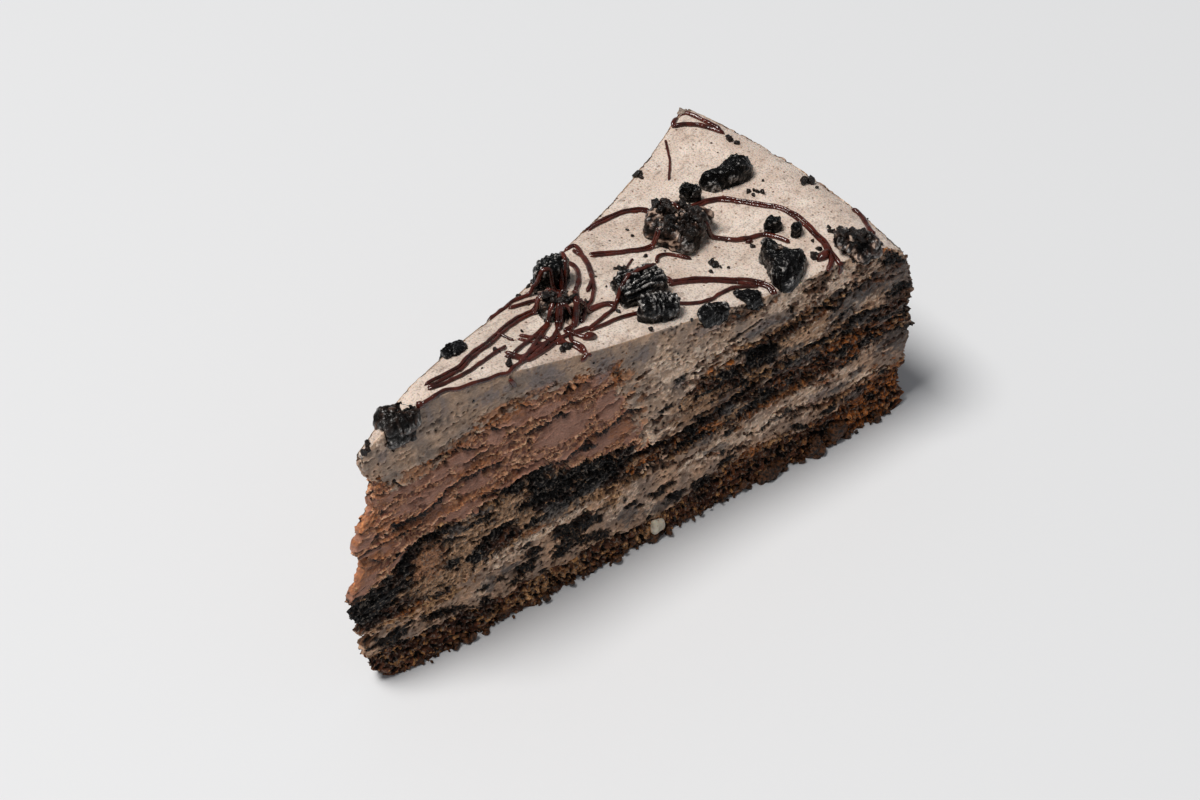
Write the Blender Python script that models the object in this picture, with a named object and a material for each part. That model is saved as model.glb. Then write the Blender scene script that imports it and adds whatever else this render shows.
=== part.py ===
"""A slice of cookies and cream cake.

From the floor up it has a crumb base, a pale cream, a dark middle sponge, a chocolate mousse that fills the half
near the tip, a grey cream and a wedge of sponge that fill the half near the rim, and a domed top cream with cookie
pieces and drizzled chocolate on it.

Lengths are in millimetres here, and each mesh is turned to metres as it is made. +X runs from the tip to the rim,
+Z is up, and the origin is on the floor below the middle of the slice. Most places are given by their distance
from the sharp tip and by their share of the way across, which is -1 at the near cut and 1 at the far cut.
"""

import math

import bmesh
import bpy
import numpy as np
from mathutils import Vector, geometry, noise

MM = 0.001

# The plan of the slice, which is one of fourteen out of a cake 254 mm across.
CUT_LENGTH = 127.0
CUT_ANGLE = math.radians(26.4)
TIP_X = -63.03
TIP_Y = 0.49
TIP_START = 0.8
TIP_WIDTH = 1.8
TIP_WIDTH_FADE = 6.0
TIP_PINCH = math.radians(10.5)
TIP_PINCH_FADE = 38.0

# How finely the walls are divided, and the gap that two touching pieces keep.
STATION_STEP = 3.0
STATION_CLEAR = 0.8
RIM_COLUMNS = 16
DOME_STEP = 4.5
DOME_MARGIN = 2.4
GAP = 0.3

# Where the layers that don't run the whole length begin and end.
MOUSSE_END = 63.0
GREY_CREAM_START = 66.5
UPPER_SPONGE_START = 71.0
UPPER_SPONGE_END = 117.0

# A strand of drizzled chocolate, half sunk in the cream.
STRAND_SIDES = 6
STRAND_STEP = 4.0
STRAND_LIFT = 0.2

# The top cream's far corner stands higher than its near one and leans out, and its surface swells a little.
FAR_LIP = 2.8
FAR_LIP_START = 108.0
FAR_LEAN = 3.5
FAR_LEAN_HEIGHTS = (34.0, 46.0)
SWELL = 0.5
SWELL_LENGTH = 14.0

# The tip is too thin for full relief on its walls, so the relief grows from this share of it to all of it.
TIP_RELIEF = 0.3
TIP_RELIEF_END = 15.0

# How far the base's crumbs spread out at the floor, and the height at which that ends.
FOOT_SPREAD = 1.4
FOOT_HEIGHT = 6.0


def profile(*knots):
    """A function that eases through pairs of a place and a value, both in millimetres."""
    places, values = np.array(knots, float).T
    slopes = np.gradient(values, places)

    def value_at(place):
        place = min(max(place, places[0]), places[-1])
        k = int(np.clip(np.searchsorted(places, place) - 1, 0, len(places) - 2))
        span = places[k + 1] - places[k]
        t = (place - places[k]) / span
        ease = t * t * (3 - 2 * t)
        start = t * (1 - t) ** 2 * span * slopes[k]
        end = t * t * (t - 1) * span * slopes[k + 1]
        return values[k] * (1 - ease) + values[k + 1] * ease + start + end

    return value_at


# Heights of the faces between the layers, by distance from the tip.
base_top = profile(
    (0, 8.2), (12, 6.8), (40, 4.8), (55, 4.8), (68, 3.8), (77, 7.2), (90, 8.6), (103, 6.4), (116, 9.4), (129, 12)
)
lower_cream_top = profile(
    (0, 16), (14, 14.5), (28, 16), (40, 16.4), (52, 18.6), (72, 19.5), (84, 18.5), (104, 20), (116, 19.8), (129, 23)
)
middle_sponge_top = profile(
    (0, 24.5), (7, 28.5), (15, 33), (23, 31.4), (37, 34.2), (47, 30.4), (56, 29), (61, 25.3), (72, 24.8), (86, 27),
    (104, 30), (112, 31), (129, 29)
)
mousse_top = profile(
    (0, 53), (8, 47.5), (13, 46.8), (20, 50.5), (30, 52.6), (40, 53), (50, 51.6), (56, 45), (60, 37), (63, 29.5)
)
grey_cream_top = profile(
    (66, 27.5), (72, 29), (80, 30.2), (91, 30.6), (99, 33.6), (110, 38), (118, 41), (123, 42), (129, 38)
)
upper_sponge_top = profile((71, 33), (76, 36.2), (84, 38), (91, 39.4), (99, 39.2), (108, 40.4), (117, 42.4))
dome = profile(
    (0, 58), (4, 61.6), (10, 64.2), (18, 64.9), (26, 63.7), (42, 59.5), (52, 57), (70, 53.4), (89, 49.6), (99, 48.4),
    (108, 48.2), (116, 47.2), (122, 45.6), (127, 43.2)
)

# How far the walls stand out of the plan at the rim and at the tip, by height.
rim_bulge = profile((0, 0), (5, 0.4), (12, 2), (22, 2.2), (31, 1.2), (36, 0.2), (40, -1), (46, -3))
tip_reach = profile(
    (0, -4), (5, -1.6), (9, 2), (15, 1.6), (22, 3.4), (28, 3), (33, 0.2), (38, 1.6), (44, -0.4), (48, -3), (56, -1),
    (60, -1.5)
)
TIP_REACH_FADE = 5.0
RIM_BULGE_START = 117.0

# Corners of the cookie pieces as they lie, in millimetres along and across from the sharp tip, each with how far it
# stands above the cream and how far it is sunk in it.
COOKIES = {
    "cookie_long": (4.0, 1.0, (
        (104.4, 10.2), (104.6, 8.2), (107, 5.6), (110.7, 4.3), (113.8, 3.8), (115.6, 4.8), (116.6, 7), (113.4, 8.4),
        (109.6, 9.1),
    )),
    "cookie_cluster": (5.0, 1.5, (
        (84.6, 2), (87.3, -2.4), (89.6, -2.8), (94.4, -0.4), (96.3, 0.4), (98.4, 2.8), (98.2, 6), (95.1, 9.2),
        (92, 9.3), (87.6, 8.4), (85.6, 6.5),
    )),
    "cookie_behind_cluster": (3.5, 1.0, (
        (98.8, 10), (99.6, 8), (101.6, 6.6), (103, 7.2), (102.4, 9.1), (100.6, 10.9),
    )),
    "cookie_ribbed": (4.0, 1.0, (
        (63.4, -6), (66.6, -0.4), (69.8, -1), (73.3, -1.7), (75.6, -3), (75.2, -7.2), (73.6, -8.6), (69, -8.6),
        (64, -7),
    )),
    "cookie_ribbed_edge": (4.5, 1.0, (
        (62.6, -10), (64.6, -9.6), (68.5, -10.8), (71.4, -11.6), (72, -13.2), (69.6, -14.8), (66.9, -14.1),
        (63.8, -12.9), (62.4, -11.6),
    )),
    "cookie_slab": (4.5, 1.5, (
        (95.4, -13), (97.6, -11.4), (98.9, -12.4), (99.6, -16.5), (101.8, -18.8), (100.8, -20.2), (97.4, -21.8),
        (93.5, -22.8), (91.2, -22), (91, -19.6), (93.9, -15.8),
    )),
    "cookie_bit_back": (3.0, 0.8, (
        (102.8, -8.4), (104, -7.6), (105.6, -8.2), (106.6, -9.8), (105.4, -10.6), (103.8, -10),
    )),
    "cookie_bit_front": (2.5, 0.8, (
        (105.2, -12.8), (106.6, -12.2), (108, -13), (106.8, -14.6), (105.2, -14.2),
    )),
    "cookie_rim_corner": (3.0, 1.5, (
        (108.4, -20.4), (109.8, -19.6), (111.6, -21.2), (112.2, -23.8), (114.6, -25.6), (113.6, -27.6),
        (110.6, -27), (108.8, -25.2), (108, -22.6),
    )),
    "cookie_far_edge": (5.0, 1.0, (
        (53.8, 7.4), (55.2, 9), (58, 10), (61, 10.2), (63.6, 8.8), (63.8, 6.8), (61.5, 5.4), (58, 5.2), (55, 6.2),
    )),
    "cookie_under_drizzle": (4.0, 1.0, (
        (48.8, 1.6), (51.4, 4), (53.4, 3.4), (55.2, 1), (56.2, -2), (55, -3.4), (52.2, -3.2), (51, -1.4), (49.8, 0),
    )),
    "cookie_tip": (0.7, 6.2, (
        (6.8, -2.4), (9, -3.2), (12, -3.8), (13, -2.4), (12.4, 0.4), (10, 1.6), (7, 1.2),
    )),
    "cookie_cut_long": (0.6, 2.6, (
        (72.6, -16), (74.6, -15), (78.8, -15.8), (80.4, -17.2), (79, -19.4), (75.8, -18.8), (72.9, -18),
    )),
    "cookie_cut_short": (0.8, 2.4, (
        (82.8, -17.4), (83.8, -15.8), (86.6, -16.8), (87.8, -19), (86.8, -21.2), (84, -20.8),
    )),
    "cookie_far_tip": (0.8, 3.0, (
        (25.4, 2.2), (28, 1.6), (31.6, 2.2), (32.4, 4.6), (29, 5.8), (26, 4.8),
    )),
}

# The drizzle's strands, each a width and the places that it passes, along and across from the sharp tip.
STRANDS = (
    (1.4, ((79, 16.8), (87, 17), (94, 14), (99.5, 11.5), (104, 6), (108.5, -0.5), (111.5, -5.5), (112, -11.5),
           (110, -17.5), (106.5, -21))),
    (1.2, ((110, -17.5), (107.5, -21.5), (105, -23.4))),
    (2.2, ((101.4, -17.4), (103.6, -19.6), (106, -21.4))),
    (1.5, ((72, 11), (78.5, 7), (85, 3.5))),
    (1.5, ((95, -1), (98, -5), (101.5, -8), (104.5, -11.6), (105.5, -14.5))),
    (1.5, ((75.5, -3.5), (78, -6), (82, -8.5), (87.5, -13), (90, -16), (90.5, -19.5))),
    (1.3, ((72, -10.5), (74.5, -11.5), (78.5, -13.5), (84, -14.4), (89.5, -15.6))),
    (1.4, ((71.5, 13), (72, 11), (70.5, 8), (68.5, 5.5), (64.5, 2.5), (61, 1), (57.5, -1))),
    (1.4, ((57, -1.5), (60.5, -2.2), (64, -4.5))),
    (1.3, ((50.5, -5), (54, -5.6), (59, -5.5), (63.5, -5))),
    (1.3, ((52.5, -5.4), (58, -6.9), (63.7, -8.4))),
    (1.5, ((52, 3), (48, 5), (43, 5), (37.5, 4), (33, 2.7), (29.5, 1.7))),
    (1.1, ((37.5, 0), (33.5, 0), (28, -1), (22.5, -1.4), (17, -0.6))),
    (1.4, ((35, -7.2), (30.5, -6.2), (25, -4.4), (20, -3), (16.4, -2.6))),
    (1.3, ((50.5, -2), (45.5, -3.3), (40, -4.3), (35.5, -3))),
    (1.5, ((49.5, -5), (43, -5.6), (36, -6.8))),
    (1.4, ((49, -4.5), (48.5, -7.4), (47.8, -9.8))),
    (2.4, ((53.5, -8.3), (49, -8))),
    (1.0, ((40, 3.8), (40, 1.7), (41, -0.4), (43.6, -3.8))),
    (1.3, ((50, 8.6), (46.5, 7.6), (42.4, 6.6))),
    (0.9, ((114, 25), (110.5, 22), (103.5, 15))),
    (2.0, ((118.5, 25.6), (122.6, 25.4), (124.4, 19))),
    (1.6, ((124, -14), (122, -17.5), (118, -22.6))),
)

# Loose crumbs on the cream: places along and across from the sharp tip, and widths.
TOP_CRUMBS = (
    (87.3, -8, 2.4), (99.6, 20.3, 2.4), (120.5, 13.3, 2.2), (122.5, -4.6, 2.8), (34.5, -1.7, 1.8), (32.6, -5, 2),
    (44.6, -8.2, 2.8), (80.3, 1.4, 1.4), (2.2, -0.2, 2.6),
)

# Lumps on the foot of the near cut: distance from the tip, how far out, height, and their three sizes.
FOOT_LUMPS = (
    (65.5, 2.5, 4.3, (5.0, 3.0, 6.6)),
    (64.4, 1.2, 1.6, (5.6, 4.4, 2.6)),
    (104.0, 1.6, 1.6, (7.0, 5.0, 2.8)),
    (109.5, 0.6, 1.9, (5.0, 3.4, 3.2)),
    (93.0, 0.6, 1.4, (6.0, 3.4, 2.4)),
    (29.0, 0.3, 1.3, (6.0, 2.4, 2.2)),
)


def smooth_step(low, high, value):
    t = min(max((value - low) / (high - low), 0.0), 1.0)
    return t * t * (3 - 2 * t)


def opening_angle(distance):
    """The angle between the cuts, which closes towards the tip."""
    return CUT_ANGLE - TIP_PINCH * math.exp(-distance / TIP_PINCH_FADE)


def plan_point(distance, share, height):
    """Where a place lies in plan, with the bulge of the rim and the reach of the tip at that height."""
    way = (share + 1) / 2
    angle = way * opening_angle(distance) - CUT_ANGLE / 2
    lean = FAR_LEAN * way * smooth_step(*FAR_LEAN_HEIGHTS, height)
    radius = distance + (rim_bulge(height) + lean) * smooth_step(RIM_BULGE_START, CUT_LENGTH, distance)
    reach = tip_reach(height) * math.exp(-distance / TIP_REACH_FADE)
    width = TIP_WIDTH * math.exp(-distance / TIP_WIDTH_FADE)
    return TIP_X + radius * math.cos(angle) - reach, TIP_Y + radius * math.sin(angle) + way * width


def top_height(distance, share):
    """The top cream's surface, with the higher lip at its far corner."""
    lip = FAR_LIP * smooth_step(FAR_LIP_START, CUT_LENGTH, distance) * (share + 1) / 2
    swell = SWELL * noise.noise(Vector((distance / SWELL_LENGTH, share * 2, 0)))
    return dome(distance) + lip + swell * smooth_step(0, TIP_RELIEF_END, distance)


def height_above(along, across):
    """The top cream's height at a place in millimetres along and across from the sharp tip."""
    distance = math.hypot(along, across)
    way = (math.atan2(across, along) + CUT_ANGLE / 2) / opening_angle(distance)
    return top_height(distance, 2 * min(max(way, 0), 1) - 1)


def rough(point, sizes, depth, seed):
    """A smooth random offset, with one wave length in plan and one in height."""
    wide, tall = sizes
    return depth * noise.noise(Vector((point[0] / wide, point[1] / wide, point[2] / tall + seed)))


def crumbly(point):
    """Torn sponge: pits and crumbs."""
    return rough(point, (4.0, 3.0), 0.7, 11) + rough(point, (9.0, 5.0), 0.5, 23)


def spilled(point):
    """The torn sponge of the base, whose foot spreads over the floor."""
    return crumbly(point) + FOOT_SPREAD * (1 - smooth_step(0, FOOT_HEIGHT, point[2]))


def flaky(point):
    """Cut mousse: long flakes that lie along the layers."""
    return rough(point, (13.0, 2.6), 1.1, 31) + rough(point, (5.0, 1.8), 0.4, 47)


def creamy(point):
    """Cream smeared by the knife."""
    return rough(point, (8.0, 5.0), 0.35, 59)


def stations(start, end, extra=()):
    """Distances from the tip at which a layer's walls have a column of points."""
    fixed = [start, end, *extra]
    every = np.linspace(TIP_START, CUT_LENGTH, round(CUT_LENGTH / STATION_STEP) + 1)
    between = [d for d in every if start < d < end and min(abs(d - f) for f in fixed) > STATION_CLEAR]
    return sorted([*between, *fixed])


def outline(places, whole_tip, whole_rim):
    """The perimeter as distances and shares, anticlockwise: near cut, rim, far cut, tip."""
    near = [(d, -1.0) for d in places]
    rim = [(places[-1], share) for share in np.linspace(-1, 1, RIM_COLUMNS + 1)[1:-1]]
    far = [(d, 1.0) for d in reversed(places)]
    tip = [(TIP_START / 3, 0.5), (TIP_START / 3, -0.5)]
    return near + rim * whole_rim + far + tip * whole_tip


def outward(distance, share):
    """The direction in which relief moves a wall point."""
    if abs(share) == 1.0:
        return 0.0, share
    if distance < TIP_START:
        return -1.0, 0.0
    angle = share * CUT_ANGLE / 2
    return math.cos(angle), math.sin(angle)


def ring(loop, heights, relief):
    """One closed row of wall points."""
    row = []
    for (distance, share), z in zip(loop, heights):
        x, y = plan_point(distance, share, z)
        fade = TIP_RELIEF + (1 - TIP_RELIEF) * smooth_step(0, TIP_RELIEF_END, distance)
        depth = relief((x, y, z)) * fade
        out_x, out_y = outward(distance, share)
        row.append((x + out_x * depth, y + out_y * depth, z))
    return row


def lid(first, loop, count):
    """Faces that close one row of wall points: rungs from cut to cut, then the rim's part and the tip's."""
    indices = list(range(first, first + len(loop)))
    far_begin = next(i for i, place in enumerate(loop) if place[1] == 1.0)
    near = indices[:count]
    rim = indices[count:far_begin]
    far = indices[far_begin : far_begin + count][::-1]
    tip = indices[far_begin + count :]
    faces = []
    for i in range(count - 1):
        faces.append((near[i], near[i + 1], far[i + 1]))
        faces.append((near[i], far[i + 1], far[i]))
    if rim:
        faces.append((near[-1], *rim, far[-1]))
    if tip:
        faces.append((far[0], *tip, near[0]))
    return faces


def dome_lid(first, vertices):
    """The top cream's surface: evenly spread points inside the last row, joined to it and to each other."""
    edge = [Vector((v[0], v[1])) for v in vertices[first:]]
    count = len(edge)
    inside = []
    for i in range(round(CUT_LENGTH / DOME_STEP)):
        along = (i + 0.5) * DOME_STEP
        half = along * math.tan(CUT_ANGLE / 2)
        for across in np.arange(-half + DOME_MARGIN + DOME_STEP * (i % 2) / 2, half - DOME_MARGIN, DOME_STEP):
            point = Vector((TIP_X + along, TIP_Y + across))
            if point_inside(point, edge):
                inside.append(point)
    border = [(i, (i + 1) % count) for i in range(count)]
    points, _, faces, _, _, _ = geometry.delaunay_2d_cdt(edge + inside, border, [], 1, 1e-6)
    for point in points[count:]:
        vertices.append((point.x, point.y, height_above(point.x - TIP_X, point.y - TIP_Y)))
    return [tuple(first + i for i in face) for face in faces]


def point_inside(point, edge):
    """Whether a point of the plan lies inside the edge, and clear of it."""
    crossings = 0
    for a, b in zip(edge, edge[1:] + edge[:1]):
        nearest, share = geometry.intersect_point_line(point, a, b)
        nearest = a.lerp(b, min(max(share, 0), 1))
        if (nearest - point).length < DOME_MARGIN:
            return False
        if (a.y > point.y) != (b.y > point.y):
            crossings += point.x < a.x + (b.x - a.x) * (point.y - a.y) / (b.y - a.y)
    return crossings % 2 == 1


def wall_faces(length, rows):
    """Triangles between successive rows of wall points."""
    faces = []
    for row in range(rows):
        low = row * length
        high = low + length
        for i in range(length):
            j = (i + 1) % length
            faces.append((low + i, low + j, high + j))
            faces.append((low + i, high + j, high + i))
    return faces


def srgb(code):
    """A linear colour from a hex code."""
    parts = [int(code[i : i + 2], 16) / 255 for i in (0, 2, 4)]
    return [p / 12.92 if p <= 0.04045 else ((p + 0.055) / 1.055) ** 2.4 for p in parts] + [1.0]


def material(name, colour, roughness):
    made = bpy.data.materials.new(name)
    made.use_nodes = True
    shader = made.node_tree.nodes["Principled BSDF"]
    shader.inputs["Base Color"].default_value = srgb(colour)
    shader.inputs["Roughness"].default_value = roughness
    shader.inputs["Metallic"].default_value = 0.0
    return made


def add_object(name, vertices, faces, look):
    """A closed mesh object from points in millimetres, with its faces turned outwards."""
    mesh = bpy.data.meshes.new(name)
    mesh.from_pydata([tuple(c * MM for c in v) for v in vertices], [], faces)
    shape = bmesh.new()
    shape.from_mesh(mesh)
    bmesh.ops.triangulate(shape, faces=shape.faces)
    bmesh.ops.recalc_face_normals(shape, faces=shape.faces)
    shape.to_mesh(mesh)
    shape.free()
    mesh.materials.append(look)
    made = bpy.data.objects.new(name, mesh)
    bpy.context.collection.objects.link(made)
    return made


def add_layer(name, look, start, end, floor, top, rows, relief, extra=()):
    """One layer of the cake, as a closed wall between its floor and its top."""
    places = stations(start, end, extra)
    loop = outline(places, start == TIP_START, end == CUT_LENGTH)
    domed = top is top_height
    lows = [floor(d) for d, _ in loop]
    highs = [top(d, share) if domed else top(d) for d, share in loop]
    vertices = []
    for row in range(rows + 1):
        heights = [low + (high - low) * row / rows for low, high in zip(lows, highs)]
        vertices += ring(loop, heights, relief)
    last = rows * len(loop)
    faces = wall_faces(len(loop), rows) + lid(0, loop, len(places))
    faces += dome_lid(last, vertices) if domed else lid(last, loop, len(places))
    return add_object(name, vertices, faces, look)


def on(height):
    """The floor of a layer that lies on the face at this height."""
    return lambda distance: height(distance) + GAP


def cream_floor(distance):
    """What the top cream lies on. It steps over the blunt ends of the layers below it."""
    if distance <= MOUSSE_END + GAP:
        return mousse_top(distance) + GAP
    if distance <= GREY_CREAM_START - 2 * GAP:
        return middle_sponge_top(distance) + GAP
    if distance <= UPPER_SPONGE_START - 2 * GAP:
        return grey_cream_top(distance) + GAP
    if distance <= UPPER_SPONGE_END + GAP:
        return upper_sponge_top(distance) + GAP
    return grey_cream_top(distance) + GAP


def cream_steps():
    """Pairs of stations, one on each side of every step in the top cream's floor."""
    lower_sides = (
        MOUSSE_END + GAP,
        GREY_CREAM_START - 2 * GAP,
        UPPER_SPONGE_START - 2 * GAP,
        UPPER_SPONGE_END + GAP,
    )
    return [side + offset for side in lower_sides for offset in (0, GAP)]


def lumpy(centre, sizes, seed, name, look):
    """A small lump: a ball of few sides, stretched to its sizes and made uneven."""
    shape = bmesh.new()
    bmesh.ops.create_icosphere(shape, subdivisions=2, radius=0.5)
    for vertex in shape.verts:
        swell = 1 + 0.35 * noise.noise(vertex.co * 2.5 + Vector((seed, 0, 0)))
        place = [centre[k] + vertex.co[k] * sizes[k] * swell for k in range(3)]
        vertex.co = [c * MM for c in place]
    mesh = bpy.data.meshes.new(name)
    shape.to_mesh(mesh)
    shape.free()
    mesh.materials.append(look)
    made = bpy.data.objects.new(name, mesh)
    return made


def cookie_points(corners, rise, sink, grow, seed):
    """Rings of a cookie piece from its sunk foot to its worn top, grown by a gap where it cuts its own seat."""
    centre = np.mean(corners, axis=0)
    levels = ((-sink - grow, 0.86), (-sink / 3, 0.98), (rise * 0.5, 1.0), (rise * 0.85, 0.9), (rise + grow, 0.62))
    rings = []
    for level, width in levels:
        row = []
        for corner in corners:
            arm = np.array(corner) - centre
            length = np.linalg.norm(arm)
            dent = noise.noise(Vector((corner[0] / 3 + seed, corner[1] / 3, level / 2)))
            place = centre + arm / length * (length * (width + 0.07 * dent) + grow)
            bump = 0.25 * rise * noise.noise(Vector((corner[0] / 2, corner[1] / 2, seed)))
            z = height_above(*place) + level + bump * (level > 0)
            row.append((TIP_X + place[0], TIP_Y + place[1], z))
        rings.append(row)
    return rings, centre


def add_cookie(name, corners, rise, sink, grow, look):
    """A broken cookie piece that follows the cream which it lies on."""
    seed = sum(map(ord, name)) % 97
    rings, centre = cookie_points(corners, rise, sink, grow, seed)
    count = len(corners)
    vertices = [point for row in rings for point in row]
    faces = wall_faces(count, len(rings) - 1)
    last = count * (len(rings) - 1)
    surface = height_above(*centre)
    x, y = TIP_X + centre[0], TIP_Y + centre[1]
    vertices.append((x, y, surface - sink - grow))
    vertices.append((x, y, surface + rise + grow))
    bottom, crown = len(vertices) - 2, len(vertices) - 1
    for i in range(count):
        j = (i + 1) % count
        faces.append((j, i, bottom))
        faces.append((last + i, last + j, crown))
    return add_object(name, vertices, faces, look)


def rounded_route(places):
    """A strand's places with more between them, on a curve that passes through them all."""
    points = [np.array(p, float) for p in places]
    ends = [2 * points[0] - points[1], *points, 2 * points[-1] - points[-2]]
    route = []
    for a, b, c, d in zip(ends, ends[1:], ends[2:], ends[3:]):
        pieces = max(1, round(np.linalg.norm(c - b) / STRAND_STEP))
        for k in range(pieces):
            t = k / pieces
            route.append(
                0.5 * (2 * b + (c - a) * t + (2 * a - 5 * b + 4 * c - d) * t**2 + (3 * b - a - 3 * c + d) * t**3)
            )
    return [*route, points[-1]]


def add_strand(index, width, places, look, home):
    """One strand of drizzle, as a closed tube along the dome."""
    route = rounded_route(places)
    middle = [Vector((TIP_X + p[0], TIP_Y + p[1], height_above(*p) + STRAND_LIFT)) for p in route]
    vertices = []
    for i, point in enumerate(middle):
        ahead = middle[min(i + 1, len(middle) - 1)] - middle[max(i - 1, 0)]
        side = ahead.cross(Vector((0, 0, 1))).normalized()
        up = side.cross(ahead).normalized()
        for k in range(STRAND_SIDES):
            turn = 2 * math.pi * (k + 0.5) / STRAND_SIDES
            offset = (side * math.cos(turn) + up * math.sin(turn)) * width / 2
            vertices.append(tuple(point + offset))
    faces = wall_faces(STRAND_SIDES, len(middle) - 1)
    last = STRAND_SIDES * (len(middle) - 1)
    faces.append(tuple(range(STRAND_SIDES)))
    faces.append(tuple(last + k for k in range(STRAND_SIDES)))
    strand = add_object(f"strand_{index}", vertices, faces, look)
    move_to(strand, home)


def move_to(obj, home):
    """Takes an object out of the scene's collection into a helper collection."""
    for holder in list(obj.users_collection):
        holder.objects.unlink(obj)
    home.objects.link(obj)


def combine(target, helpers, operation):
    """Applies one Boolean with every object of the helper collection, then removes them."""
    bpy.context.scene.collection.children.link(helpers)
    modifier = target.modifiers.new(operation, "BOOLEAN")
    modifier.operation = operation
    modifier.operand_type = "COLLECTION"
    modifier.collection = helpers
    modifier.solver = "EXACT"
    graph = bpy.context.evaluated_depsgraph_get()
    joined = bpy.data.meshes.new_from_object(target.evaluated_get(graph))
    target.modifiers.clear()
    target.data = joined
    for helper in list(helpers.objects):
        bpy.data.objects.remove(helper)
    bpy.data.collections.remove(helpers)


def fuse_top(cream, look):
    """Joins the drizzle and the crumbs to the top cream."""
    helpers = bpy.data.collections.new("drizzle")
    for index, (width, places) in enumerate(STRANDS):
        add_strand(index, width, places, look, helpers)
    for index, (along, across, width) in enumerate(TOP_CRUMBS):
        centre = (TIP_X + along, TIP_Y + across, height_above(along, across) + width * 0.1)
        helpers.objects.link(lumpy(centre, (width, width * 0.8, width * 0.8), index, f"crumb_{index}", look))
    combine(cream, helpers, "UNION")


def seat_cookies(cream, look):
    """Adds the cookie pieces, after cutting a seat for each out of the top cream and its drizzle."""
    helpers = bpy.data.collections.new("seats")
    for name, (rise, sink, corners) in COOKIES.items():
        move_to(add_cookie(f"seat_of_{name}", corners, rise, sink, GAP * 1.3, look), helpers)
    combine(cream, helpers, "DIFFERENCE")
    for name, (rise, sink, corners) in COOKIES.items():
        add_cookie(name, corners, rise, sink, 0.0, look)


def fuse_foot(base, look):
    """Joins the lumps and crumbs at the foot of the near cut to the base."""
    helpers = bpy.data.collections.new("lumps")
    for index, (distance, out, height, sizes) in enumerate(FOOT_LUMPS):
        x, y = plan_point(distance, -1.0, height)
        helpers.objects.link(lumpy((x, y - out, height), sizes, 20 + index, f"lump_{index}", look))
    combine(base, helpers, "UNION")


def build():
    for obj in list(bpy.data.objects):
        bpy.data.objects.remove(obj)
    dark_crumb = material("dark crumb", "3A2A22", 0.9)
    pale_cream = material("pale cream", "C9B8AA", 0.55)
    grey_cream = material("grey cream", "6F6862", 0.6)
    mousse = material("chocolate mousse", "8A6450", 0.6)
    cookie = material("black cookie", "23211F", 0.8)
    brown_crumb = material("brown crumb", "5A3D2B", 0.9)

    base = add_layer("base_sponge", brown_crumb, TIP_START, CUT_LENGTH, lambda d: 0.0, base_top, 3, spilled)
    add_layer("lower_cream", pale_cream, TIP_START, CUT_LENGTH, on(base_top), lower_cream_top, 4, creamy)
    add_layer(
        "middle_sponge", dark_crumb, TIP_START, CUT_LENGTH, on(lower_cream_top), middle_sponge_top, 4, crumbly
    )
    add_layer("chocolate_mousse", mousse, TIP_START, MOUSSE_END, on(middle_sponge_top), mousse_top, 7, flaky)
    add_layer(
        "grey_cream", grey_cream, GREY_CREAM_START, CUT_LENGTH, on(middle_sponge_top), grey_cream_top, 3, creamy
    )
    add_layer(
        "upper_sponge", brown_crumb, UPPER_SPONGE_START, UPPER_SPONGE_END, on(grey_cream_top), upper_sponge_top, 3,
        crumbly,
    )
    cream = add_layer(
        "top_cream", pale_cream, TIP_START, CUT_LENGTH, cream_floor, top_height, 4, creamy, cream_steps()
    )
    fuse_foot(base, brown_crumb)
    fuse_top(cream, cookie)
    seat_cookies(cream, cookie)


build()
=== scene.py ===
"""A slice of cookies and cream cake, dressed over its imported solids.

Every layer is a closed mesh of its own. Its walls carry torn crumb, flaked mousse or smeared cream as
relief, and each reaches a little way under its neighbours, so that the seams between them come out as ragged
as a knife leaves them. The walls also carry masks, which say where a place is black cookie, pale cream,
caramel crumb and so on, and the materials read those. Lengths are millimetres here, and each mesh is turned
to metres as it is made.
"""

import math

import bmesh
import bpy
import numpy as np
from mathutils import Matrix, Vector
from mathutils.bvhtree import BVHTree


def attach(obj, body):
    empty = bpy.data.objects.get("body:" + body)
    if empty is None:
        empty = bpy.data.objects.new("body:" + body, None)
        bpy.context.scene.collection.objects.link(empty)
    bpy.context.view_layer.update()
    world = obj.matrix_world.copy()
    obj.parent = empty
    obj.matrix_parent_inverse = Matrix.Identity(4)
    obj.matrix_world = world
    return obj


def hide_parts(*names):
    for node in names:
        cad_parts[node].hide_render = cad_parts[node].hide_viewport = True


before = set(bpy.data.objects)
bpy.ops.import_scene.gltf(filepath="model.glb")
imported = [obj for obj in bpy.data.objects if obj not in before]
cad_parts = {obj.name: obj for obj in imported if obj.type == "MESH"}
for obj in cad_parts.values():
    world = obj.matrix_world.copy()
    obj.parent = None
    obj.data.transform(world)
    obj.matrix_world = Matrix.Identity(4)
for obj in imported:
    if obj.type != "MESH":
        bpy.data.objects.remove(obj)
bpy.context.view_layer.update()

MM = 0.001

# The light: how bright the room is, and the lamp's power, width and place in metres.
ROOM_LIGHT = 0.2
LAMP_POWER = 88.0
LAMP_SIZE = 1.15
LAMP_PLACE = (-0.95, 0.5, 2.75)

# The photo's view: the camera's place, what it looks at, its lens and sensor, and half the floor's width.
CAMERA_PLACE = (-0.27428, -0.23911, 0.38875)
CAMERA_AIM = (0.02103, 0.01787, 0.0)
LENS = 80.0
SENSOR_WIDTH = 36.0
NEAREST_SEEN = 0.01
FLOOR_HALF = 3.0

# The plan of the slice, as in its solids: its length and angle, and where its sharp tip would be.
CUT_LENGTH = 127.0
CUT_ANGLE = math.radians(26.4)
TIP_X = -63.03
TIP_Y = 0.49
RIM_ARC = CUT_LENGTH * CUT_ANGLE

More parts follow.
